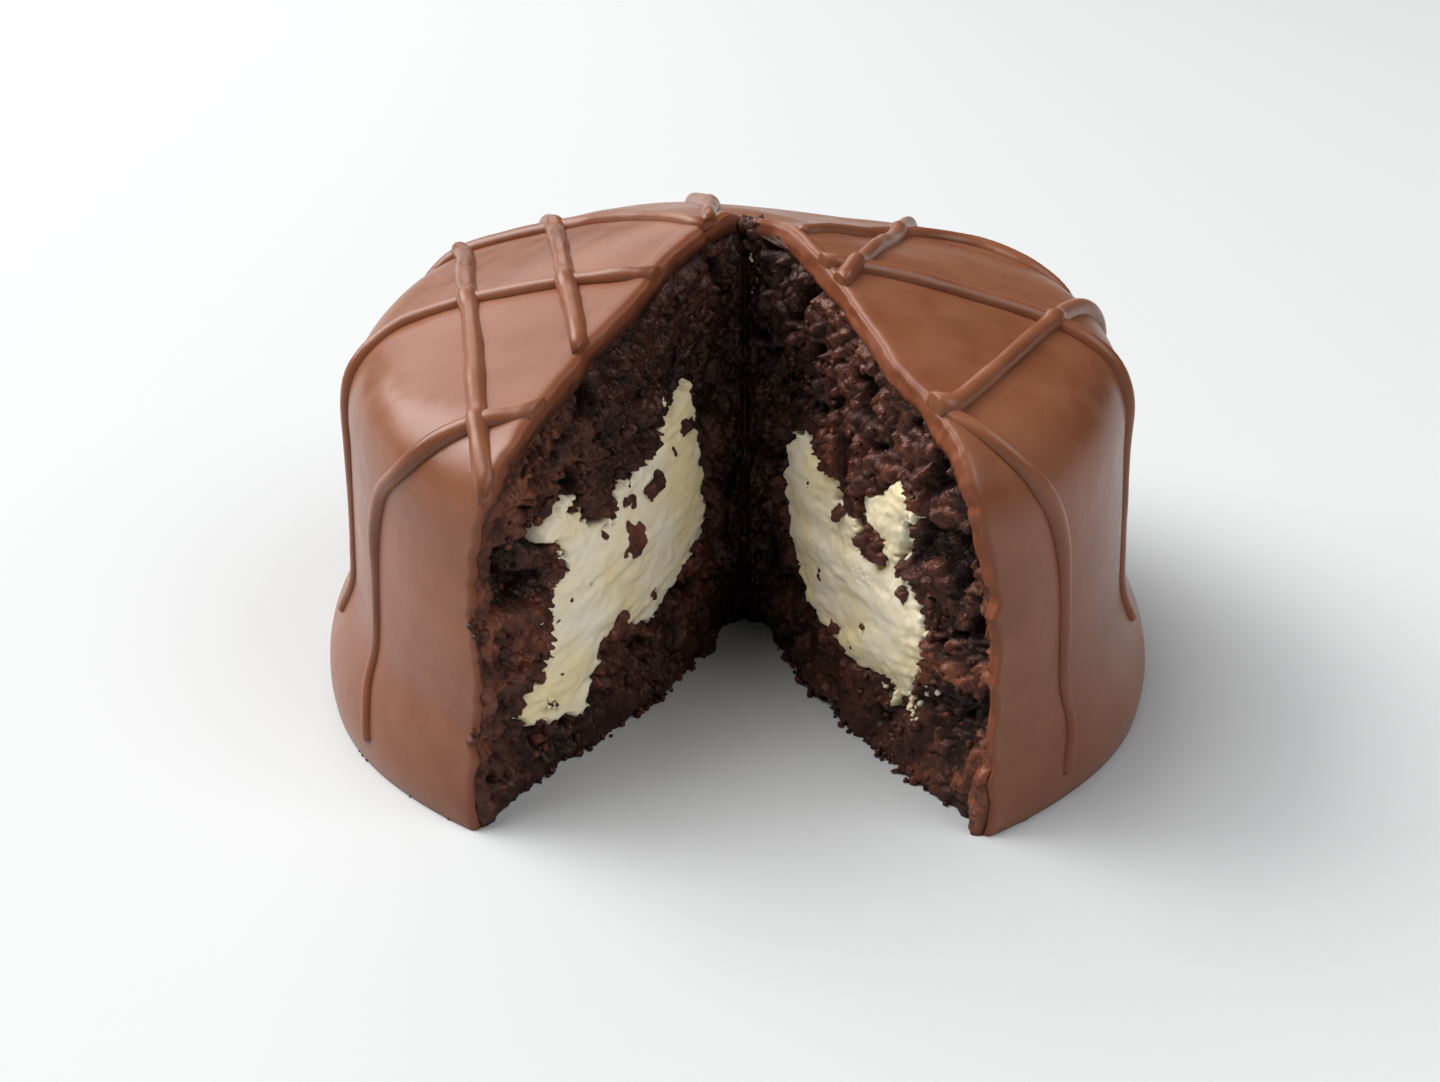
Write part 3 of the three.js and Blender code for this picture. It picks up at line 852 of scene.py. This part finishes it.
def base_bulge(across, up):
    """At its base the crumb sags out into the opening."""
    return 1.35 * smooth(7.5, 0.5, up) * smooth(2.0, 8.0, np.abs(across))


def sponge_rise(across, up):
    """Height of the sponge's faces: torn relief, sunk under the cream, with stuck crumbs. Beside
    the coat it keeps just behind the broken edge, or level with it where no band of chocolate
    shows, and below the tip it fills the valley a little."""
    relief = crumb_relief(across, up)
    under = smooth(0.30, -0.30, cream_gap(across, up))
    rise = relief * (1 - under) + (-2.6 + 0.2 * relief) * under
    stuck = stuck_crumbs(across, up)
    crumb = 0.30 * lumps(flat_point(across, up), 0.8, 330) + 0.15 * relief
    rise = np.maximum(rise, np.where(stuck > 0, np.minimum(stuck, 0.7) + crumb - 0.15, -9.0))
    distance = np.abs(across)
    recess, depth, arc, stand = edge_recess(across, up)
    beyond = by_side(across, lip_jag, arc) - stand
    band = by_side(across, band_share, arc)
    band = np.clip(band + 0.35 * lumps(flat_point(across, up), 2.4, 340) * smooth(0, 0.3, band),
                   0, 1)
    rim = smooth(3.0, 1.5, depth) * smooth(0.0, 3.0, distance)
    rise = (rise * (1 - 0.45 * rim) + recess
            + (np.minimum(beyond, 0.2) - 0.42 * band + 0.62 * (1 - band)) * rim)
    # The last half millimetre turns in under the coat's outer edge.
    rise = rise - 0.6 * smooth(0.95, 0.5, depth) * smooth(0.0, 2.0, distance)
    rise = np.maximum(rise, recess + np.minimum(beyond, 0) - 0.3 - 1.3 * depth)
    rise = rise + base_bulge(across, up) * (1 - 0.3 * rim)
    rise = np.minimum(rise * (0.3 + 0.7 * smooth(0.0, 4.0, distance)), 0.4 + 0.4 * distance)
    return rise + 0.9 * smooth(3.5, 0.0, distance)


def crumb_tones(across, up, depth):
    """Two tones of the faces. Smeared: the outer band of the right face, reddish with fat. Soaked
    and shaded: the crumb round the tip, under the top and along the base, nearly black. This is
    partly moist crumb and partly painted shade where the faces meet, under the coat and along the
    foot, stronger on the left face."""
    flat = flat_point(across, up)
    wander = 1.6 * lumps(flat, 4.0, 350) + 0.8 * lumps(flat, 1.6, 351)
    smear = smooth(11.0, 5.0, depth + wander)
    smear = smear * np.where(across > 0, smooth(31.0, 20.0, up), 0.35 * smooth(5.0, 20.0, up))
    distance = np.abs(across)
    top_width = np.where(across < 0, 31.0, 17.0)
    top = smooth(top_width, top_width - 10, distance + wander) * smooth(18, 26, up + 0.5 * wander)
    base = smooth(9.0, 4.0, up + 0.5 * wander) * smooth(32.0, 24.0, distance)
    soaked_and_shaded = np.max([smooth(9.0, 3.0, distance + wander), 0.85 * top,
                     base * np.where(across < 0, 0.62, 0.35)], axis=0)
    return smear, soaked_and_shaded


def make_sponge(material):
    """A closed piece. Both faces are one sheet, zipped to a coarse sweep of the coat's inside
    round the back. Under the base a coarse row is zipped to both feet."""
    out_left, up_left = face_grid(-1)
    out_right, up_right = face_grid(1)
    across = np.hstack([-out_left[:, :0:-1], out_right])
    up = np.hstack([up_left[:, :0:-1], up_right])
    rise = sponge_rise(across, up)
    sheet_index = numbered(0, across.shape)

    arc = np.concatenate([np.linspace(TIP_ARC, SHOULDER_ARC, SWEEP_ROWS),
                          np.linspace(SHOULDER_ARC, FOOT_ARC, SWEEP_ROWS)[1:]])
    arc, bearing = np.meshgrid(arc, round_back(np.linspace(0.04, 0.96, SWEEP_COLUMNS)),
                               indexing="ij")
    radius, height = outline_at(arc, SWEEP_INSET)
    out = reach(bearing, radius)
    out[0] = 0
    x, y = around_tip(bearing, out)
    height = settled(x, y, height) - tip_sag(x, y)
    height[-1] = 0
    sweep_index = numbered(across.size, arc.shape)
    base_across = np.concatenate([np.linspace(across[0, 0], 0, SWEEP_COLUMNS)[:-1],
                                  np.linspace(0, across[0, -1], SWEEP_COLUMNS)])
    base_row = place_on_faces(base_across, 0 * base_across, -BASE_INSET)
    base_index = numbered(across.size + arc.size, base_across.shape)
    points = np.vstack([place_on_faces(across, up, rise).reshape(-1, 3),
                        np.stack([x, y, height], -1).reshape(-1, 3), base_row])

    faces = [grid_faces(sheet_index), grid_faces(sweep_index)]
    middle = FACE_COLUMNS - 1
    for column, top_row, wall in ((0, sheet_index[-1, middle:], sheet_index[::-1, -1]),
                                  (-1, sheet_index[-1, middle::-1], sheet_index[::-1, 0])):
        faces.append(zipped_faces(top_row, sweep_index[:SWEEP_ROWS, column]))
        faces.append(zipped_faces(wall, sweep_index[SWEEP_ROWS - 1:, column]))
    feet = (sheet_index[0], base_index, sweep_index[-1, ::-1])
    faces += [zipped_faces(feet[0], feet[1]), zipped_faces(feet[1], feet[2]),
              np.array([[row[end] for row in feet] for end in (0, -1)])]

    # The soaked tone darkens the crumb: partly moist crumb, partly painted shade near the tip,
    # under the coat and at the foot.
    smear, soaked_and_shaded = crumb_tones(across, up, coat_depth(across, up)[0])
    # crest is the relief's own height. The crumb's colour follows it: painted shade in the pits,
    # painted light on the crests.
    crest = rise - edge_recess(across, up)[0] - base_bulge(across, up)
    tones = {"crest": crest, "smear": smear * smooth(-1.3, -0.2, crest), "soaked_and_shaded": soaked_and_shaded}
    plain = np.zeros(arc.size + len(base_row))
    return mesh_object("sponge_crumb", points, faces, material, {
        key: np.concatenate([tone.ravel(), plain]) for key, tone in tones.items()})


# ---------- cream ----------

CREAM_CENTRE = (18.2, 15.0)
CREAM_COLUMNS = 420
CREAM_ROWS = 90
CREAM_SPARE = 1.4
RING_COLUMNS = 24
RING_POINTS = 49


def cream_radius(corners, angle):
    """How far the cream runs from its centre in each direction: the corners in polar form, widened
    to the largest of their neighbours, with some to spare."""
    du = corners[:, 0] - CREAM_CENTRE[0]
    dv = corners[:, 1] - CREAM_CENTRE[1]
    turn = np.arctan2(dv, du) % (2 * math.pi)
    order = np.argsort(turn)
    turn, radius = turn[order], np.hypot(du, dv)[order]
    fine = np.linspace(0, 2 * math.pi, 361)
    value = np.interp(fine, np.concatenate([turn - 2 * math.pi, turn, turn + 2 * math.pi]),
                      np.tile(radius, 3))
    widest = np.max([np.roll(value[:-1], shift) for shift in range(-7, 8)], axis=0)
    mean = np.mean([np.roll(widest, shift) for shift in range(-7, 8)], axis=0) + CREAM_SPARE
    return np.interp(angle, fine, np.append(mean, mean[0]))


def cream_rise(across, up):
    """Height of the cream: a swollen middle, soft folds, and streaks dragged by the knife. Past
    its torn edge it dives behind the crumb."""
    flat = flat_point(across, up)
    dragged = flat_point(across * 0.55 + up * 0.25, up * 1.6 - across * 0.3)
    gap = cream_gap(across, up)
    level = (-0.35 + 0.35 * lumps(flat, 7.0, 440) + 0.26 * lumps(dragged, 3.2, 441)
             + 0.13 * lumps(dragged, 1.3, 444) + 0.06 * lumps(flat, 0.7, 445)
             + 0.35 * smooth(0.0, -3.0, gap) + edge_recess(across, up)[0]
             + base_bulge(across, up))
    dive = smooth(-0.25, 0.7, gap)
    return level * (1 - dive) - 3.4 * dive


def make_cream(material):
    """A closed ring that stops at the cut faces: on each a fine round grid of rays from its
    centre, and between them coarse sections round the back."""
    angle = np.linspace(0, 2 * math.pi, CREAM_COLUMNS)
    share = np.linspace(0, 1, CREAM_ROWS)[:, None]
    points, faces, tints, borders = [], [], [], {}
    count = 0
    for side in (1, -1):
        radius = cream_radius(CREAM[side], angle)[None, :] * share
        across = side * (CREAM_CENTRE[0] + radius * np.cos(angle))
        up = CREAM_CENTRE[1] + radius * np.sin(angle)
        rise = cream_rise(across, up)
        points.append(place_on_faces(across, up, rise).reshape(-1, 3))
        tints.append(rise.ravel())
        index = numbered(count, rise.shape)
        faces.append(grid_faces(index))
        borders[side] = index[-1]
        count += rise.size
    coarse = np.linspace(0, 2 * math.pi, RING_POINTS)[:, None]
    turn = np.linspace(0.07, 0.93, RING_COLUMNS)[None, :]
    bearing = round_back(turn)
    blend = turn * turn * (3 - 2 * turn)
    radius = (cream_radius(CREAM[1], coarse) * (1 - blend)
              + cream_radius(CREAM[-1], coarse) * blend) - 0.6
    scale = reach(bearing, FOOT_RADIUS) / reach(BEARINGS[1], FOOT_RADIUS)
    x, y = around_tip(bearing, (CREAM_CENTRE[0] + radius * np.cos(coarse)) * scale)
    up = CREAM_CENTRE[1] + radius * np.sin(coarse)
    ring_index = numbered(count, x.shape)
    points.append(np.stack([x, y, up], -1).reshape(-1, 3))
    tints.append(np.zeros(x.size))
    faces += [grid_faces(ring_index), zipped_faces(borders[1], ring_index[:, 0]),
              zipped_faces(borders[-1], ring_index[:, -1])]
    return mesh_object("cream_centre", np.vstack(points), faces, material,
                       {"crest": np.concatenate(tints)})


# ---------- loose crumbs and specks ----------

FACE_CRUMBS = 900       # tried on the faces; those on the cream or too near the coat are left out
FOOT_CRUMBS = (46, 52)  # along the foot of the left and the right face
TIP_CRUMBS = 30
FLOOR_CRUMBS = 9
EDGE_CRUMBS = [(18.2, 9, 0.7), (8.6, 7, 0.8)]  # on the coat's left edge: height, number, spread
CLEAR_OF_FLOOR = 0.03


def scatter_pebbles(name, groups, material, seed):
    """Small torn lumps from groups of centres, radii and darkening, which is partly wetness and
    partly
    painted shade: one 24-sided rounded block, stretched and turned at random, its corners pushed
    by noise and kept off the floor."""
    centres, radii, soaked_and_shaded = (np.concatenate(parts) for parts in zip(*groups))
    ball = bmesh.new()
    bmesh.ops.create_cube(ball, size=2.0)
    bmesh.ops.subdivide_edges(ball, edges=ball.edges, cuts=1, use_grid_fill=True)
    corners = np.array([corner.co for corner in ball.verts])
    corners /= np.linalg.norm(corners, axis=1)[:, None] ** 0.8
    sides = np.array([[corner.index for corner in face.verts] for face in ball.faces])
    ball.free()
    random = np.random.default_rng(seed)
    number = len(centres)
    stretch = random.uniform(0.55, 1.3, (number, 1, 3))
    spin = np.linalg.qr(random.normal(size=(number, 3, 3)))[0]
    local = corners[None] * stretch
    bumps = 1 + 0.42 * lumps(local + random.uniform(0, 50, (number, 1, 3)), 0.75, seed)
    local = np.einsum("nij,nkj->nki", spin, local * bumps[..., None])
    points = centres[:, None] + local * radii[:, None, None]
    points[..., 2] = np.maximum(points[..., 2], CLEAR_OF_FLOOR)
    offset = (np.arange(number) * len(corners))[:, None, None]
    tone = np.repeat(random.uniform(-1.0, 0.9, number), len(corners))
    return mesh_object(name, points.reshape(-1, 3), [(sides[None] + offset).reshape(-1, 4)],
                       material, {"crest": tone, "smear": 0 * tone,
                                  "soaked_and_shaded": np.repeat(soaked_and_shaded, len(corners))})


def loose_crumbs(material):
    """Crumbs half sunk in the cut faces and along their foot, larger ones in the coat's gap round
    the tip, some on its left edge, and a few at its left foot."""
    random = np.random.default_rng(11)
    across = random.uniform(-37, 37, FACE_CRUMBS)
    up = random.uniform(0.8, 38, FACE_CRUMBS)
    depth, _ = coat_depth(across, up)
    limit = np.minimum(np.interp(up, *COAT_EDGES[1][0][::-1].T[::-1]), np.where(up < 25, 37, 40))
    keep = ((depth > 1.6) & (np.abs(across) < limit - 1.5)
            & (cream_gap(across, up) > 0.3))
    across, up, depth = across[keep], up[keep], depth[keep]
    radii = 0.18 + 0.42 * random.random(len(across)) ** 1.7
    rise = sponge_rise(across, up) - 0.05 * radii
    groups = [(place_on_faces(across, up, rise), radii, crumb_tones(across, up, depth)[1])]

    across = np.concatenate([random.uniform(-36, -7, FOOT_CRUMBS[0]),
                             random.uniform(7, 36, FOOT_CRUMBS[1])])
    radii = 0.14 + 0.30 * random.random(len(across)) ** 1.5
    rise = sponge_rise(across, radii) + random.uniform(-0.3, 0.5, len(across))
    # Crumbs along the foot are darkened, partly as painted shade along the base.
    groups.append((place_on_faces(across, radii * 0.85, rise), radii, 0 * radii + 0.3))

    turn = random.uniform(0, 2 * math.pi, TIP_CRUMBS)
    away = 1.5 * np.sqrt(random.random(TIP_CRUMBS))
    radii = random.uniform(0.35, 0.75, TIP_CRUMBS)
    place = np.stack([CUT_TIP[0] + 0.3 + away * np.cos(turn),
                      CUT_TIP[1] - 0.5 + away * np.sin(turn),
                      PEAK[1] - 2.2 - random.uniform(0.0, 1.8, TIP_CRUMBS)], -1)
    # The tip crumbs' darkening is partly painted shade in the coat's gap.
    groups.append((place, radii, 0 * radii + 0.5))

    for height, number, spread in EDGE_CRUMBS:
        out, _ = face_edge(-1, np.interp(height, OUTLINE[::-1, 1], OUTLINE_ARC[::-1]), 0.2)
        up = height + spread * random.normal(size=number)
        across = -(out + random.uniform(-1.3, 0.15, number))
        radii = random.uniform(0.2, 0.5, number)
        stand = lip_jag(-1, np.interp(up, OUTLINE[::-1, 1], OUTLINE_ARC[::-1]))
        rise = stand + random.uniform(-0.25, 0.25, number)
        groups.append((place_on_faces(across, up, rise), radii, 0 * radii + 0.2))

    azimuth = np.radians(random.uniform(-64, -37, FLOOR_CRUMBS))
    radii = random.uniform(0.10, 0.20, len(azimuth))
    foot = FOOT[0] + random.uniform(-0.5, 0.0, len(azimuth))
    groups.append((np.stack([foot * np.sin(azimuth) * SIDE_SCALE, -foot * np.cos(azimuth),
                             radii * 0.7], -1), radii, 0 * radii))
    return scatter_pebbles("loose_crumbs", groups, material, 21)


# Places where specks of cream were dragged by the knife: across, up, spread, count, largest. The
# first two, at the tip, are pale specks that stand for glints on moist crumb: painted highlight.
CREAM_DRAGS_AND_GLINTS = [
    (1.2, 37.6, 0.3, 3, 0.19), (1.6, 34.8, 0.3, 2, 0.17), (28.5, 6.2, 1.3, 16, 0.30),
    (30.5, 8.5, 1.0, 9, 0.28), (-30.5, 6.4, 1.4, 18, 0.30), (-28.6, 9.0, 1.4, 12, 0.28),
    (-29.0, 15.5, 1.2, 9, 0.24), (-27.8, 20.4, 0.9, 6, 0.24), (-18.2, 8.2, 2.4, 5, 0.2),
    (26.8, 21.0, 1.0, 6, 0.26), (24.6, 5.4, 1.0, 6, 0.24), (-12.0, 27.0, 1.2, 4, 0.22),
]


def cream_specks_and_glints(material):
    """Specks of cream smeared on the crumb round the filling's ends, and two groups at the tip
    that are painted highlight, standing for glints.
    """
    random = np.random.default_rng(12)
    groups = []
    for across, up, spread, number, largest in CREAM_DRAGS_AND_GLINTS:
        place_u = across + random.normal(0, spread * 0.6, number)
        place_v = up + random.normal(0, spread * 0.6, number)
        radii = random.uniform(0.4, 1.0, number) * largest
        rise = sponge_rise(place_u, place_v) + 0.1 * radii
        groups.append((place_on_faces(place_u, place_v, rise), radii, 0 * radii))
    return scatter_pebbles("cream_specks_and_glints", groups, material, 22)


# ---------- materials ----------

def colour(code):
    """Linear colour from an sRGB hex value."""
    value = [int(code[place:place + 2], 16) / 255 for place in (1, 3, 5)]
    return [v / 12.92 if v <= 0.04045 else ((v + 0.055) / 1.055) ** 2.4 for v in value] + [1.0]


def add(tree, kind, inputs=None, out=0, **settings):
    """Adds one shader node and gives one of its outputs. Its inputs are numbers, colours or the
    sockets to link."""
    node = tree.nodes.new("ShaderNode" + kind)
    for key, value in settings.items():
        setattr(node, key, value)
    for key, value in (inputs or {}).items():
        if isinstance(value, bpy.types.NodeSocket):
            tree.links.new(value, node.inputs[key])
        else:
            node.inputs[key].default_value = value
    return node.outputs[out] if len(node.outputs) else None


def per_metre(size):
    """Noise scale that gives features of a size in millimetres."""
    return 1 / (size * MM)


def new_material(skin):
    """A material named for a function that takes its node tree and gives its skin's inputs."""
    made = bpy.data.materials.new(skin.__name__)
    made.use_nodes = True
    made.node_tree.nodes.clear()
    surface = add(made.node_tree, "BsdfPrincipled", skin(made.node_tree))
    add(made.node_tree, "OutputMaterial", {"Surface": surface})
    return made


# Sockets of the Mix node when it mixes colours, and the ends of a Map Range node
MIX_A, MIX_B, MIX_COLOUR = 6, 7, 2
RANGE = ("From Min", "From Max", "To Min", "To Max")


def tempered_milk_chocolate(tree):
    """Milk chocolate that was poured and left to set: a close satin surface with soft blotches of
    cocoa butter. Where it is broken it is duller and redder. The left edge's broken side is
    darkened deeper in with painted shade, as it faces away from the light."""
    place = add(tree, "TexCoord", out="Object")
    blotch, cloud, fine = [
        add(tree, "TexNoise", {"Vector": place, "Scale": per_metre(size), "Detail": detail,
                               "Roughness": rough})
        for size, detail, rough in ((14, 3.0, 0.55), (3.5, 2.0, 0.5), (0.7, 2.0, 0.6))]
    broken, left_lip_painted_shade = [add(tree, "Attribute", out="Fac", attribute_name=name)
                       for name in ("broken", "left_lip_painted_shade")]
    spread, veil, gloss = [
        add(tree, "MapRange", {"Value": value, **dict(zip(RANGE, ends))})
        for value, ends in ((blotch, (0.35, 0.65)), (cloud, (0.4, 0.75, 0.0, 0.30)),
                            (cloud, (0.3, 0.7, 0.27, 0.36)))]
    torn, left_lip_shade_mix = [add(tree, "Math", {0: value, 1: most}, operation="MULTIPLY")
                   for value, most in ((broken, 0.85), (left_lip_painted_shade, 0.8))]
    tone = colour("#76442c")
    # The last mix, #2e1610, is painted shade on the left lip's broken side.
    for share, hue in ((spread, "#845138"), (veil, "#8f5f46"), (torn, "#7a4128"),
                       (left_lip_shade_mix, "#2e1610")):
        tone = add(tree, "Mix", {0: share, MIX_A: tone, MIX_B: colour(hue)}, MIX_COLOUR,
                   data_type="RGBA")
    swell = add(tree, "Bump", {"Height": cloud, "Strength": 0.35, "Distance": 0.25 * MM})
    grit = add(tree, "Bump", {"Height": fine, "Strength": 0.25, "Distance": 0.06 * MM,
                              "Normal": swell})
    return {"Base Color": tone, "Normal": grit, "IOR": 1.38, "Subsurface Weight": 0.10,
            "Subsurface Radius": (1.0, 0.5, 0.3), "Subsurface Scale": 1.2 * MM,
            "Roughness": add(tree, "Math", {0: broken, 1: 0.2, 2: gloss},
                             operation="MULTIPLY_ADD")}


def moist_cocoa_crumb(tree):
    """Dark cocoa sponge, baked and torn: rough, with a thin moist gloss here and there. Its colour
    follows the relief's height: almost black in its pits as painted shade, and reddish brown on
    its crests as painted light. Soaked crumb turns nearly black, partly moist crumb and partly
    painted shade."""
    place = add(tree, "TexCoord", out="Object")
    clump, grain = [
        add(tree, "TexNoise", {"Vector": place, "Scale": per_metre(size), "Detail": detail,
                               "Roughness": 0.6})
        for size, detail in ((2.2, 3.0), (0.45, 2.0))]
    crest, smear, soaked_and_shaded = [add(tree, "Attribute", out="Fac", attribute_name=name)
                            for name in ("crest", "smear", "soaked_and_shaded")]
    # The height map darkens the pits and lightens the crests: painted shade and painted light.
    height, patch, moist = [
        add(tree, "MapRange", {"Value": value, **dict(zip(RANGE, ends))})
        for value, ends in ((crest, (-1.5, 1.0)), (clump, (0.35, 0.7)),
                            (clump, (0.35, 0.65, 0.62, 0.34)))]
    # The last mix darkens the soaked crumb: partly moist crumb, partly painted shade.
    painted_crest_light, rubbed, wet_and_shaded = [add(tree, "Math", {0: value, 1: other}, operation="MULTIPLY")
                        for value, other in ((height, patch), (smear, patch), (soaked_and_shaded, 0.88))]
    tone = colour("#150a08")
    for share, hue in ((height, "#43251d"), (painted_crest_light, "#7b4636"), (rubbed, "#96593f"),
                       (wet_and_shaded, "#0d0505")):
        tone = add(tree, "Mix", {0: share, MIX_A: tone, MIX_B: colour(hue)}, MIX_COLOUR,
                   data_type="RGBA")
    bump = add(tree, "Bump", {"Height": grain, "Strength": 0.7, "Distance": 0.25 * MM})
    return {"Base Color": tone, "Roughness": moist, "Normal": bump, "IOR": 1.45,
            "Specular Tint": colour("#ffd9d0")}


def whipped_cream_filling(tree):
    """Set cream filling: off-white, a little yellow in its folds, soft and nearly matte, with
    light that sinks in a short way."""
    place = add(tree, "TexCoord", out="Object")
    cloud, fine = [
        add(tree, "TexNoise", {"Vector": place, "Scale": per_metre(size), "Detail": 2.0,
                               "Roughness": rough})
        for size, rough in ((6, 0.5), (0.9, 0.55))]
    spread = add(tree, "MapRange", {"Value": cloud, "From Min": 0.35, "From Max": 0.65})
    tone = add(tree, "Mix", {0: spread, MIX_A: colour("#f9e7b8"), MIX_B: colour("#fdf1dc")},
               MIX_COLOUR, data_type="RGBA")
    bump = add(tree, "Bump", {"Height": fine, "Strength": 0.35, "Distance": 0.12 * MM})
    return {"Base Color": tone, "Roughness": 0.5, "Normal": bump, "IOR": 1.45,
            "Subsurface Weight": 0.18, "Subsurface Radius": (1.0, 0.8, 0.55),
            "Subsurface Scale": 1.0 * MM}


def matt_studio_paper(tree):
    """Pale matt paper, plain, with a trace of shine."""
    return {"Base Color": colour("#c5c7c8"), "Roughness": 0.6, "IOR": 1.2}


# ---------- floor, light and camera ----------

FLOOR_HALF = 3.0  # metres


def make_floor():
    """A flat square that the cake stands on."""
    mesh = bpy.data.meshes.new("studio_floor")
    mesh.from_pydata([(FLOOR_HALF * x, FLOOR_HALF * y, 0)
                      for x, y in ((-1, -1), (1, -1), (1, 1), (-1, 1))], [], [(0, 1, 2, 3)])
    mesh.materials.append(new_material(matt_studio_paper))
    new_object("studio_floor", mesh)


# Square lamps that face the cake's middle: direction from there, power and tint. Two stand on
# the left, the first and strongest of them a little behind, a weaker one on the right, and
# another at the back.
SOFTBOXES = {
    "key_softbox": ((-0.74, 0.32, 0.62), 26.0, "#fffdfa"),
    "high_softbox": ((-0.5, 0.0, 0.85), 21.5, "#ffffff"),
    "right_softbox": ((0.60, -0.32, 0.75), 12.0, "#ffffff"),
    "back_softbox": ((-0.25, 0.80, 0.50), 6.0, "#ffffff"),
}

SOFTBOX_SIZE = 1.1      # metres, as are the next two
SOFTBOX_DISTANCE = 1.6
CAKE_MIDDLE = Vector((0, 0, 0.02))
ROOM_STRENGTH = 0.06    # the room is nearly dark


def make_light():
    """The room's own light and the softboxes."""
    world = bpy.data.worlds.new("studio_room")
    world.use_nodes = True
    background = world.node_tree.nodes["Background"]
    background.inputs["Color"].default_value = colour("#f6f8fb")
    background.inputs["Strength"].default_value = ROOM_STRENGTH
    bpy.context.scene.world = world
    for name, (towards, power, tint) in SOFTBOXES.items():
        data = bpy.data.lights.new(name, "AREA")
        data.shape = "SQUARE"
        data.size = SOFTBOX_SIZE
        data.energy = power
        data.color = colour(tint)[:3]
        lamp = new_object(name, data)
        direction = Vector(towards).normalized()
        lamp.location = CAKE_MIDDLE + direction * SOFTBOX_DISTANCE
        lamp.rotation_euler = (-direction).to_track_quat("-Z", "Y").to_euler()


# The camera was fitted to the photo: its lens, its height above the horizon and its distance
# from the point where the cake's axis meets the floor, with a small shift of the frame.
CAMERA_LENS = 37.5
CAMERA_SENSOR = 36.0
CAMERA_ELEVATION = math.radians(32.646)
CAMERA_DISTANCE = 148.37
PHOTO_WIDTH = 1440  # pixels
CAMERA_SHIFT = (-17.57 / PHOTO_WIDTH, 91.27 / PHOTO_WIDTH)


def make_camera():
    """Looks along +Y and down at the cake's foot."""
    data = bpy.data.cameras.new("camera")
    data.lens = CAMERA_LENS
    data.sensor_width = CAMERA_SENSOR
    data.clip_start = 0.005
    data.clip_end = 20.0
    data.shift_x, data.shift_y = CAMERA_SHIFT
    camera = new_object("camera", data)
    back = Vector((0, -math.cos(CAMERA_ELEVATION), math.sin(CAMERA_ELEVATION)))
    camera.location = Vector((0, AXIS_Y * MM, 0)) + back * (CAMERA_DISTANCE * MM)
    camera.rotation_euler = (-back).to_track_quat("-Z", "Y").to_euler()
    bpy.context.scene.camera = camera


# ---------- the cake ----------

chocolate = new_material(tempered_milk_chocolate)
crumb = new_material(moist_cocoa_crumb)
cream = new_material(whipped_cream_filling)

coat_piece = make_coat(chocolate)
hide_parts("chocolate_coat")

sponge_piece = make_sponge(crumb)
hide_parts("sponge")

cream_piece = make_cream(cream)
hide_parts("cream_filling")

loose_crumbs(crumb)
cream_specks_and_glints(cream)

make_floor()
make_light()
make_camera()
bpy.context.scene.view_settings.view_transform = "Standard"
